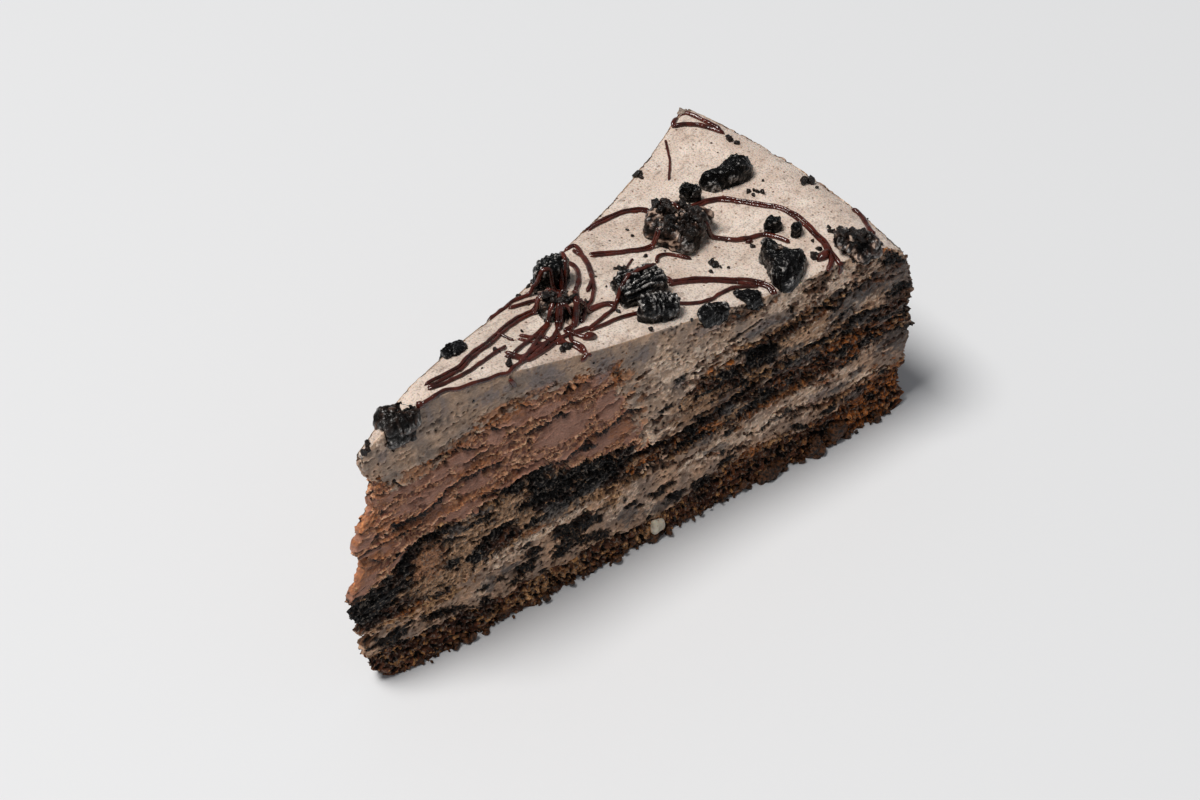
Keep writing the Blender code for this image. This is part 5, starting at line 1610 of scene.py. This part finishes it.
def sponge_look(name, light, dark, grain_dark, grain_light, grain_share, roughness):
    """Cocoa sponge or crumb as it tears.

    A torn sponge is dark and open: its crumb drinks the light, and single grains stand out of it paler. Light
    and shade are painted on it too: a lighter colour on the lips and crests of its relief, glints where its
    moist edges would catch the light, darker colour in its hollows, and near black in its holes and cracks.
    The sheen is low, as no face of it is smooth.
    """
    look, tree, shader, place = new_look(name, roughness, Specular_IOR_Level=0.2)
    fine, ragged = fine_grain(tree, place)
    broad = speckled(tree, place, 3.0, 0.35, 0.65)
    colour = blended(tree, broad, dark, light)
    colour = grainy_colour(tree, colour, grain_dark, grain_light, grain_share)
    # Painted highlight: a lighter colour on the lips of the relief.
    colour = tinted(tree, colour, own_mask(tree, "lip"), 0.4, SPONGE_LIP_HIGHLIGHT)
    colour = stained(tree, colour, ragged, STAINS)
    colour = grained(tree, colour, fine, 0.6, 1.4)
    # Painted light and shade: lighter on the crests of the relief, darker in its hollows.
    colour = grained(tree, colour, own_mask(tree, "crest"), 0.05, 1.95)
    # Painted glints: pale grey dots in the colour.
    glint = sharpened(tree, speckled(tree, place, 0.5, 0.3, 0.7, 0), 0.8, 0.85)
    colour = tinted(tree, colour, glint, 0.5, SPONGE_PAINTED_GLINT)
    # Painted shade: near black in the holes and cracks.
    colour = blended(tree, crisp_mask(tree, "hollow", ragged, 0.15, 0.65), colour, HOLLOW_SHADE)
    return finished(look, tree, shader, colour, fine, 0.25)


def mousse_look(name):
    """Chocolate mousse as it parts under a knife.

    It is soft and full of small bubbles, so light goes a little way in and comes back redder. It is smooth
    and purple-brown where the knife slid, and orange-brown and rough where it tore. Light and shade are
    painted on it too: a lighter colour on the lips of its flakes and on its crests, and a dark red-brown to
    black shade in its cracks and hollows.
    """
    look, tree, shader, place = new_look(name, 0.5)
    glow(shader, 0.15, 1.0)
    fine, ragged = fine_grain(tree, place)
    broad = speckled(tree, place, 4.0, 0.35, 0.65)
    crumbs = speckled(tree, place, 0.8, 0.4, 0.6, 2)
    slid = blended(tree, broad, "93644E", "A87862")
    broke = blended(tree, crumbs, "6C3A26", "C08A64")
    colour = blended(tree, masked(tree, "torn", ragged), slid, broke)
    # Painted highlight: a lighter colour on the lips of the flakes.
    colour = tinted(tree, colour, crisp_mask(tree, "lip", ragged, 0.3, 0.8), 0.75, MOUSSE_LIP_HIGHLIGHT)
    colour = stained(tree, colour, ragged, MOUSSE_STAINS)
    colour = grained(tree, colour, fine, 0.8, 1.2)
    # Painted light and shade: lighter on the crests of the relief, darker in its hollows.
    colour = grained(tree, colour, own_mask(tree, "crest"), 0.1, 1.9)
    # Painted shade: dark red-brown, then near black, in the cracks and hollows.
    colour = blended(tree, crisp_mask(tree, "hollow", ragged, 0.1, 0.9), colour, "2C0C06")
    colour = blended(tree, crisp_mask(tree, "hollow", ragged, 0.4, 0.65), colour, "060101")
    return finished(look, tree, shader, colour, fine, 0.14)


def cream_on_cut(tree, place, ragged, fine, pale, grey):
    """Cookie cream where the knife went through: mottled grey and beige, with cookie crumbs in it.
    Light and shade are painted on it too: lighter on the lips and crests of its relief, darker in its
    hollows, and near black in its pores and tears.
    """
    patch = speckled(tree, place, 5.0, 0.38, 0.62, 3)
    streak = speckled(tree, place, 1.3, 0.35, 0.7)
    colour = blended(tree, patch, grey, pale)
    colour = tinted(tree, colour, streak, 0.4, "7E644E")
    # Painted highlight: a lighter colour on the lips of the relief.
    colour = tinted(tree, colour, own_mask(tree, "lip"), 0.5, CREAM_LIP_HIGHLIGHT)
    colour = grainy_colour(tree, colour, "1E140E", "9C7858", 0.15)
    colour = stained(tree, colour, ragged, STAINS)
    crumb = blended(tree, own_mask(tree, "number"), "140C08", "5C3E2A")
    colour = tinted(tree, colour, masked(tree, "speck", ragged), 0.9, crumb)
    colour = grained(tree, colour, fine, 0.84, 1.16)
    # Painted light and shade: lighter on the crests of the relief, darker in its hollows.
    colour = grained(tree, colour, own_mask(tree, "crest"), 0.1, 1.9)
    # Painted shade: dark brown, then near black, in the pores and tears.
    colour = tinted(tree, colour, crisp_mask(tree, "hollow", ragged, 0.1, 0.9), 0.75, "38200F")
    return blended(tree, crisp_mask(tree, "hollow", ragged, 0.45, 0.7), colour, "0C0604")


# Cookie dust on the top: how far apart its specks are in millimetres, their size, and their colour.
TOP_DUST = ((1.2, 0.24, "947662"), (1.7, 0.18, "664A3A"), (2.7, 0.14, "2E2018"))


def dusted(tree, colour, place):
    """A colour with specks of cookie dust over it."""
    for spacing, reach, code in TOP_DUST:
        cells = add(tree, "TexVoronoi", {"Vector": place}, {"Scale": 1 / spacing})
        dot = sharpened(tree, cells.outputs["Distance"], reach, reach * 0.5)
        number = add(tree, "SeparateColor", {0: cells.outputs["Color"]}).outputs[0]
        share = overlap(tree, dot, sharpened(tree, number, 0.5, 0.8))
        colour = blended(tree, share, colour, code)
    return colour


def cream_look(name, pale, grey):
    """Whipped cookie cream between the sponges: fat and air, so it glows a little and has a soft sheen."""
    look, tree, shader, place = new_look(name, 0.5, Specular_IOR_Level=0.3)
    glow(shader, 0.15, 1.0)
    fine, ragged = fine_grain(tree, place)
    colour = cream_on_cut(tree, place, ragged, fine, pale, grey)
    return finished(look, tree, shader, colour, fine, 0.16)


def top_look(name):
    """The same cream on the cut and on the top. On the cut it is darker and greyer, partly from the cookie
    crumbs smeared into it and partly as painted shade; on the top it is pale, with the palette knife's
    streaks.
    """
    look, tree, shader, place = new_look(name, 0.5, Specular_IOR_Level=0.35)
    glow(shader, 0.15, 1.0)
    fine, ragged = fine_grain(tree, place)
    # The cut's colours are darker than the top's: partly cookie crumbs, partly painted shade.
    on_cut = cream_on_cut(tree, place, ragged, fine, "C0A086", "928073")
    broad = speckled(tree, place, 6.0, 0.35, 0.65, 4)
    on_top = blended(tree, broad, "D2BDAE", "E8D8CB")
    drawn = add(tree, "Mapping", {"Vector": place}, {"Rotation": (0, 0, 0.5), "Scale": (0.45, 1.3, 1)})
    on_top = tinted(tree, on_top, speckled(tree, drawn.outputs[0], 1.6, 0.56, 0.72, 3), 0.55, "8C786C")
    on_top = dusted(tree, on_top, place)
    colour = blended(tree, masked(tree, "top", ragged), on_cut, on_top)
    return finished(look, tree, shader, colour, fine, 0.1)


def bead_look(name, low, high):
    """Soft cream squeezed out or pushed up by the knife: damp and a little glossy."""
    look, tree, shader, place = new_look(name, 0.45)
    glow(shader, 0.2, 1.0)
    patch = speckled(tree, place, 2.0, 0.35, 0.65, 3)
    colour = dusted(tree, blended(tree, patch, low, high), place)
    return finished(look, tree, shader, colour, patch, 0.15)


def flat(line):
    """A line by distance alone, as a surface that is level from cut to cut."""
    return lambda distance, share: line(distance)


def cream_floor(distance):
    """The top of whatever lies under the top cream."""
    ends = (MOUSSE_END, GREY_CREAM_START, UPPER_SPONGE_START, UPPER_SPONGE_END)
    tops = (mousse_top, middle_sponge_top, grey_cream_top, upper_sponge_top)
    within = [distance <= end for end in ends]
    return np.select(within, [top(distance) for top in tops], grey_cream_top(distance))


def top_floor(distance):
    """The floor of the top cream, which lies on its own deep part where there is one."""
    deep = (distance > DEEP_CREAM[0]) & (distance < DEEP_CREAM[1])
    floor = cream_floor(distance)
    return np.where(deep, np.maximum(floor, deep_cream_top(distance)), floor)


def nothing_below(distance):
    """A seam so far down that no crumbs are dragged over it."""
    return distance * 0 + NO_SEAM_BELOW


def nothing_above(distance, share):
    """A seam so far up that no crumbs are dragged over it."""
    return distance * 0 + NO_SEAM_ABOVE


def build_layers():
    """The seven layers that stand for solids, and the deep part of the top cream."""
    base = sponge_look("chocolate crumb base", "5A3421", "2A140C", "3C2214", "94683F", 0.76, 0.5)
    cream = cream_look("cookie cream", "CCA486", "9A8272")
    sponge = sponge_look("black cocoa sponge", "382219", "140B08", "5A3A28", "9A7352", 0.86, 0.45)
    mousse = mousse_look("chocolate mousse")
    grey = cream_look("dusky cream", "B08868", "5C4C45")
    brown = sponge_look("brown cocoa sponge", "482B1B", "1C100A", "74492A", "AC7D50", 0.83, 0.55)
    top = top_look("whipped cookie cream")
    whole = (TIP_START, CUT_LENGTH)
    near_tip = (TIP_START, MOUSSE_END)
    near_rim = (GREY_CREAM_START, CUT_LENGTH)
    upper = (UPPER_SPONGE_START, UPPER_SPONGE_END)
    plan = (
        ("base_sponge", "base_crumb", base, "crumb", whole, lambda distance: distance * 0, flat(base_top)),
        ("lower_cream", "pale_cream", cream, "cream", whole, base_top, flat(lower_cream_top)),
        ("middle_sponge", "dark_sponge", sponge, "crumb", whole, lower_cream_top, flat(middle_sponge_top)),
        ("chocolate_mousse", "mousse", mousse, "mousse", near_tip, middle_sponge_top, flat(mousse_top)),
        ("grey_cream", "grey_cream", grey, "cream", near_rim, middle_sponge_top, flat(grey_cream_top)),
        ("upper_sponge", "brown_sponge", brown, "crumb", upper, grey_cream_top, flat(upper_sponge_top)),
        ("top_cream", "top_cream", top, "cream", whole, top_floor, top_height),
    )
    layers = {}
    for node, slot, look, kind, (start, end), floor, ceiling in plan:
        stands, domed = node == "base_sponge", node == "top_cream"
        below = nothing_below if stands else cream_floor if domed else floor
        above = nothing_above if domed else ceiling
        seams = (below, above)
        piece = add_layer(node + "_cut", look, kind, start, end, floor, ceiling, seams, stands, domed)
        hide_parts(node)
        layers[node] = piece
    seams = (cream_floor, nothing_above)
    deep = add_layer("deep_cream", top, "cream", *DEEP_CREAM, cream_floor, flat(deep_cream_top), seams)
    return layers


def biscuit_look(name, dark, light, roughness, tan=None):
    """Baked black cocoa biscuit, broken by hand.

    Baking leaves it near black and dry. A pale highlight is painted on its crests, and a near-black shade in
    its hollows.
    Broken dough of other colours shows as tan grains where a piece is all crumbs.
    """
    look, tree, shader, place = new_look(name, roughness)
    fine = speckled(tree, place, 0.75, 0.3, 0.7, 2)
    number = own_mask(tree, "number")
    colour = blended(tree, fine, dark, light)
    # Painted highlight: pale colour on the ridges, where the relief stands out.
    dust = speckled(tree, place, 0.5, 0.45, 0.62, 2)
    dust = overlap(tree, dust, sharpened(tree, own_mask(tree, "ridge"), 0.4, 0.95))
    colour = tinted(tree, colour, dust, 0.85, BISCUIT_RIDGE_HIGHLIGHT)
    shine = add(tree, "MapRange", {"Value": own_mask(tree, "ridge")}, {"To Min": 0.12, "To Max": 0.8})
    tree.links.new(shine.outputs[0], shader.inputs["Specular IOR Level"])
    if tan:
        colour = blended(tree, sharpened(tree, number, 0.4, 0.7), colour, tan[0])
        colour = blended(tree, sharpened(tree, number, 0.7, 0.8), colour, tan[1])
        colour = grained(tree, colour, fine, 0.6, 1.4)
    # Painted shade: near black in the hollows of the relief.
    colour = blended(tree, own_mask(tree, "hollow"), colour, "030202")
    return finished(look, tree, shader, colour, fine, 0.2)


def chocolate_look(name):
    """Melted dark chocolate that was drizzled and has set: red-brown, and glossy where it flowed smooth."""
    look, tree, shader, place = new_look(name, 0.14, 1.46, Specular_IOR_Level=0.7)
    patch = speckled(tree, place, 2.2, 0.35, 0.65)
    fine = speckled(tree, place, 0.5, 0.3, 0.7)
    colour = blended(tree, patch, "2E0F09", "521F14")
    return finished(look, tree, shader, colour, fine, 0.05)


def build_cookies():
    """The broken cookie pieces, each with the look of its face."""
    black = biscuit_look("black cocoa biscuit", "040404", "141415", 0.27)
    pressed = biscuit_look("pressed cocoa biscuit", "030303", "101112", 0.2)
    crumbly = biscuit_look("mixed biscuit crumbs", "080605", "1A1310", 0.36, ("3A261D", "A08878"))
    damp = biscuit_look("biscuit damp with cream", "050404", "14100E", 0.32, ("1C110C", "4A352A"))
    looks = {"broken": black, "ribbed": pressed, "dotted": pressed, "crumbly": crumbly, "damp": damp}
    return [add_cookie(index, name, rise, sink, face, corners, looks[face])
            for index, (name, (rise, sink, face, corners)) in enumerate(COOKIES.items())]


def build_drizzle(ground):
    """All the strands of drizzle as one piece, as they ran together before they set."""
    tubes = []
    for index, (width, doubled, places) in enumerate(STRANDS):
        tubes += strand_meshes(ground, index, width, doubled, places)
    piece = add_crumbs("drizzle", tubes, chocolate_look("set dark chocolate"))


def crumb_look(name, dark, light):
    """Loose crumbs of biscuit and sponge: dry outside, so dull, and each a little different."""
    look, tree, shader, place = new_look(name, 0.4, Specular_IOR_Level=0.4)
    patch = speckled(tree, place, 0.7, 0.38, 0.62, 3)
    return finished(look, tree, shader, blended(tree, patch, dark, light), patch, 0.15)


def crumb_on(ground, dice, along, across, size, level, lift):
    """A crumb that lies at a place along and across, lifted by a share of its size."""
    points, faces = crumb_shape(dice, size, level)
    return points + lie_on(ground, along, across) + [0, 0, lift * size], faces


def build_top_crumbs(ground):
    """The loose crumbs on the cream, and the heaps of crumbs on the crumbly cookies."""
    dice = np.random.default_rng(11)
    dark, brown = [], []
    for along, across, width in TOP_CRUMBS:
        in_bits = width >= BROKEN_CRUMB
        for _ in range(3 if in_bits else 1):
            size = width * (dice.uniform(0.5, 0.8) if in_bits else 1)
            shift = dice.normal(0, 0.28 * width, 2) * in_bits
            level = 3 if size > LARGE_CRUMB else 2
            dark.append(crumb_on(ground, dice, along + shift[0], across + shift[1], size, level, 0.22))
    for along, across, spread, count in CRUMB_HEAPS:
        for number in range(count):
            shift = dice.normal(0, 0.5 * spread, 2)
            size = crumb_width(dice, 0.5, 1.1)
            crumb = crumb_on(ground, dice, along + shift[0], across + shift[1], size, 2, 0.15)
            (brown if number % 4 == 3 else dark).append(crumb)
    piece = add_crumbs("top_crumbs", dark, crumb_look("dark crumbs", "060505", "241812"))
    piece = add_crumbs("top_crumbs_brown", brown, crumb_look("brown crumbs", "4A342A", "B09A8A"))


# Crumbs that stick to the cuts and to the rim: how many, and their colours.
WALL_CRUMBS = {
    "black_crumbs": (900, "040404", "141312"),
    "brown_crumbs": (1100, "24130B", "5E3E28"),
    "tan_crumbs": (800, "7A5234", "B88E66"),
}


def crumb_kinds(site):
    """How likely each place is to carry a black, a brown and a tan crumb."""
    rubble = 0.06 + site["crumbly"]
    black = 0.1 * rubble + site["black"]
    brown = rubble * (1 - site["black"]) * (1 + 2 * (site["height"] < 9))
    tan = rubble * (0.25 + 2 * site["warm"]) * (1 - 0.8 * site["black"])
    return black, brown, tan


def build_wall_crumbs():
    """Crumbs stuck on the walls, where the wall itself is crumbly."""
    places = np.concatenate([site["points"] for site in sites.values()])
    kinds = np.concatenate([np.stack(crumb_kinds(site)) for site in sites.values()], axis=1)
    for number, (name, (count, dark, light)) in enumerate(WALL_CRUMBS.items()):
        dice = np.random.default_rng(70 + number)
        chosen = dice.choice(len(places), count, p=kinds[number] / kinds[number].sum())
        parts = []
        for place in places[chosen]:
            size = crumb_width(dice, 0.35, 0.55)
            points, faces = crumb_shape(dice, size, 1 if size < TINY_CRUMB else 2)
            parts.append((points + place, faces))
        look = crumb_look(name.replace("_", " "), dark, light)
        piece = add_crumbs(name, parts, look, smooth=False)


# Lumps fallen to the foot of the near cut: distance from the tip, how far out, height, and sizes along, out
# and up. The cream's lump is the white bead among them.
FOOT_LUMPS = (
    (64.4, 0.9, 1, (4.6, 3.4, 1.8)), (104, 1.6, 2, (4.6, 3.6, 4.4)), (109.5, 0.6, 1.9, (5, 3.4, 3.2)),
    (93, 0.6, 1.4, (6, 3.4, 2.4)), (29, 0.3, 1.3, (6, 2.4, 2.2)),
)
CREAM_LUMP = (64.8, 1.5, 3.4, (3.2, 2.2, 3.8))
# How many small crumbs lie at the foot, from which distance on, and over what length.
FOOT_CRUMBS = 150
FOOT_START = 6.0
FOOT_LENGTH = 119.0
# The curl of cream on the far corner: its place along and across, and its sizes along, across and up.
CURL_PLACE = (121, 27.2)
CURL_SIZES = (2.2, 1.6, 1.5)


def at_foot(distance, out, height):
    """A place beside the near cut, out from it by some millimetres."""
    x, y = plan_point(distance, -1.0, height)
    angle = CUT_ANGLE / 2
    return np.array([x - out * math.sin(angle), y - out * math.cos(angle), height])


def lump_shape(distance, out, height, sizes, seed, relief):
    """A lump at the foot of the near cut, with a relief of its own."""
    points, faces = BALLS[5]
    turn = np.array(Matrix.Rotation(-CUT_ANGLE / 2, 3, "Z"))
    body = points * np.array(sizes) / 2
    rough = relief(body + 40.0 + seed, seed)[0] + 0.3 * lumps(body / 1.6 + seed, seed + 3)
    body = body + points * (0.9 * rough)[:, None]
    body = body @ turn.T + at_foot(distance, out, height)
    body[:, 2] = np.maximum(body[:, 2], 0.02)
    return body, faces


def soft_relief(points, seed):
    """Cream that was squeezed out: soft swells only."""
    return 0.5 * lumps(points / 1.4, seed), None


def build_foot():
    """The lumps and crumbs at the foot of the near cut, and the bead of cream squeezed out beside them."""
    dice = np.random.default_rng(90)
    parts = [lump_shape(*lump, 700 + k, crumbly_relief) for k, lump in enumerate(FOOT_LUMPS)]
    for _ in range(FOOT_CRUMBS):
        distance = FOOT_START + FOOT_LENGTH * dice.random()
        size = crumb_width(dice, 0.6, 1.6)
        points, faces = crumb_shape(dice, size, 2)
        place = at_foot(distance, 0.9 + 1.5 * dice.random() ** 2, 0.3 * size + 1.2 * dice.random() ** 3)
        parts.append((points + place, faces))
    piece = add_crumbs("foot_crumbs", parts, crumb_look("base crumbs", "120906", "643E22"))
    points, faces = lump_shape(*CREAM_LUMP, 720, soft_relief)
    piece = new_piece("cream_bead", points, faces, bead_look("bead of cream", "C6B9A2", "EAE2D2"))


def build_curl(ground):
    """The curl of cream that the knife left standing on the far corner."""
    points, faces = BALLS[3]
    body = points * np.array(CURL_SIZES) / 2
    body = body + points * (0.5 * lumps(points * 1.5 + 9, 731) + 0.12 * lumps(points * 4.5, 732))[:, None]
    body = body + lie_on(ground, *CURL_PLACE) + np.array([0, 0, 0.3 * CURL_SIZES[2]])
    piece = new_piece("cream_curl", body, faces, bead_look("curl of cream", "7C6E64", "B8A899"))


def light_room(scene):
    """The room's light from all sides, and one large soft lamp, high and a little behind."""
    world = bpy.data.worlds.new("room")
    world.use_nodes = True
    world.node_tree.nodes["Background"].inputs["Color"].default_value = linear("F2F5FA")
    world.node_tree.nodes["Background"].inputs["Strength"].default_value = ROOM_LIGHT
    scene.world = world

    lamp = bpy.data.lights.new("window", "AREA")
    lamp.shape = "DISK"
    lamp.size = LAMP_SIZE
    lamp.energy = LAMP_POWER
    lamp.color = linear("FFFCF8")[:3]
    holder = bpy.data.objects.new("window", lamp)
    holder.location = LAMP_PLACE
    holder.rotation_euler = (-Vector(LAMP_PLACE)).to_track_quat("-Z", "Y").to_euler()
    scene.collection.objects.link(holder)


def lay_floor(scene):
    """A pale floor under the slice."""
    look = bpy.data.materials.new("pale floor")
    look.use_nodes = True
    look.node_tree.nodes["Principled BSDF"].inputs["Base Color"].default_value = linear("DFE1E4")
    look.node_tree.nodes["Principled BSDF"].inputs["Roughness"].default_value = 0.6
    mesh = bpy.data.meshes.new("floor")
    corners = [(x * FLOOR_HALF, y * FLOOR_HALF, 0) for x, y in ((-1, -1), (1, -1), (1, 1), (-1, 1))]
    mesh.from_pydata(corners, [], [(0, 1, 2, 3)])
    mesh.materials.append(look)
    floor = bpy.data.objects.new("floor", mesh)
    scene.collection.objects.link(floor)


def studio():
    """The floor, the light and the photo's view."""
    scene = bpy.context.scene
    scene.view_settings.view_transform = "Standard"
    light_room(scene)
    lay_floor(scene)
    camera = bpy.data.cameras.new("photo view")
    camera.lens = LENS
    camera.sensor_width = SENSOR_WIDTH
    camera.clip_start = NEAREST_SEEN
    holder = bpy.data.objects.new("photo view", camera)
    holder.location = CAMERA_PLACE
    aim = Vector(CAMERA_AIM) - holder.location
    holder.rotation_euler = aim.to_track_quat("-Z", "Y").to_euler()
    scene.collection.objects.link(holder)
    scene.camera = holder


studio()
layers = build_layers()
cookies = build_cookies()
ground = surface_tree([layers["top_cream"], *cookies])
build_drizzle(ground)
build_top_crumbs(ground)
build_wall_crumbs()
build_foot()
build_curl(ground)
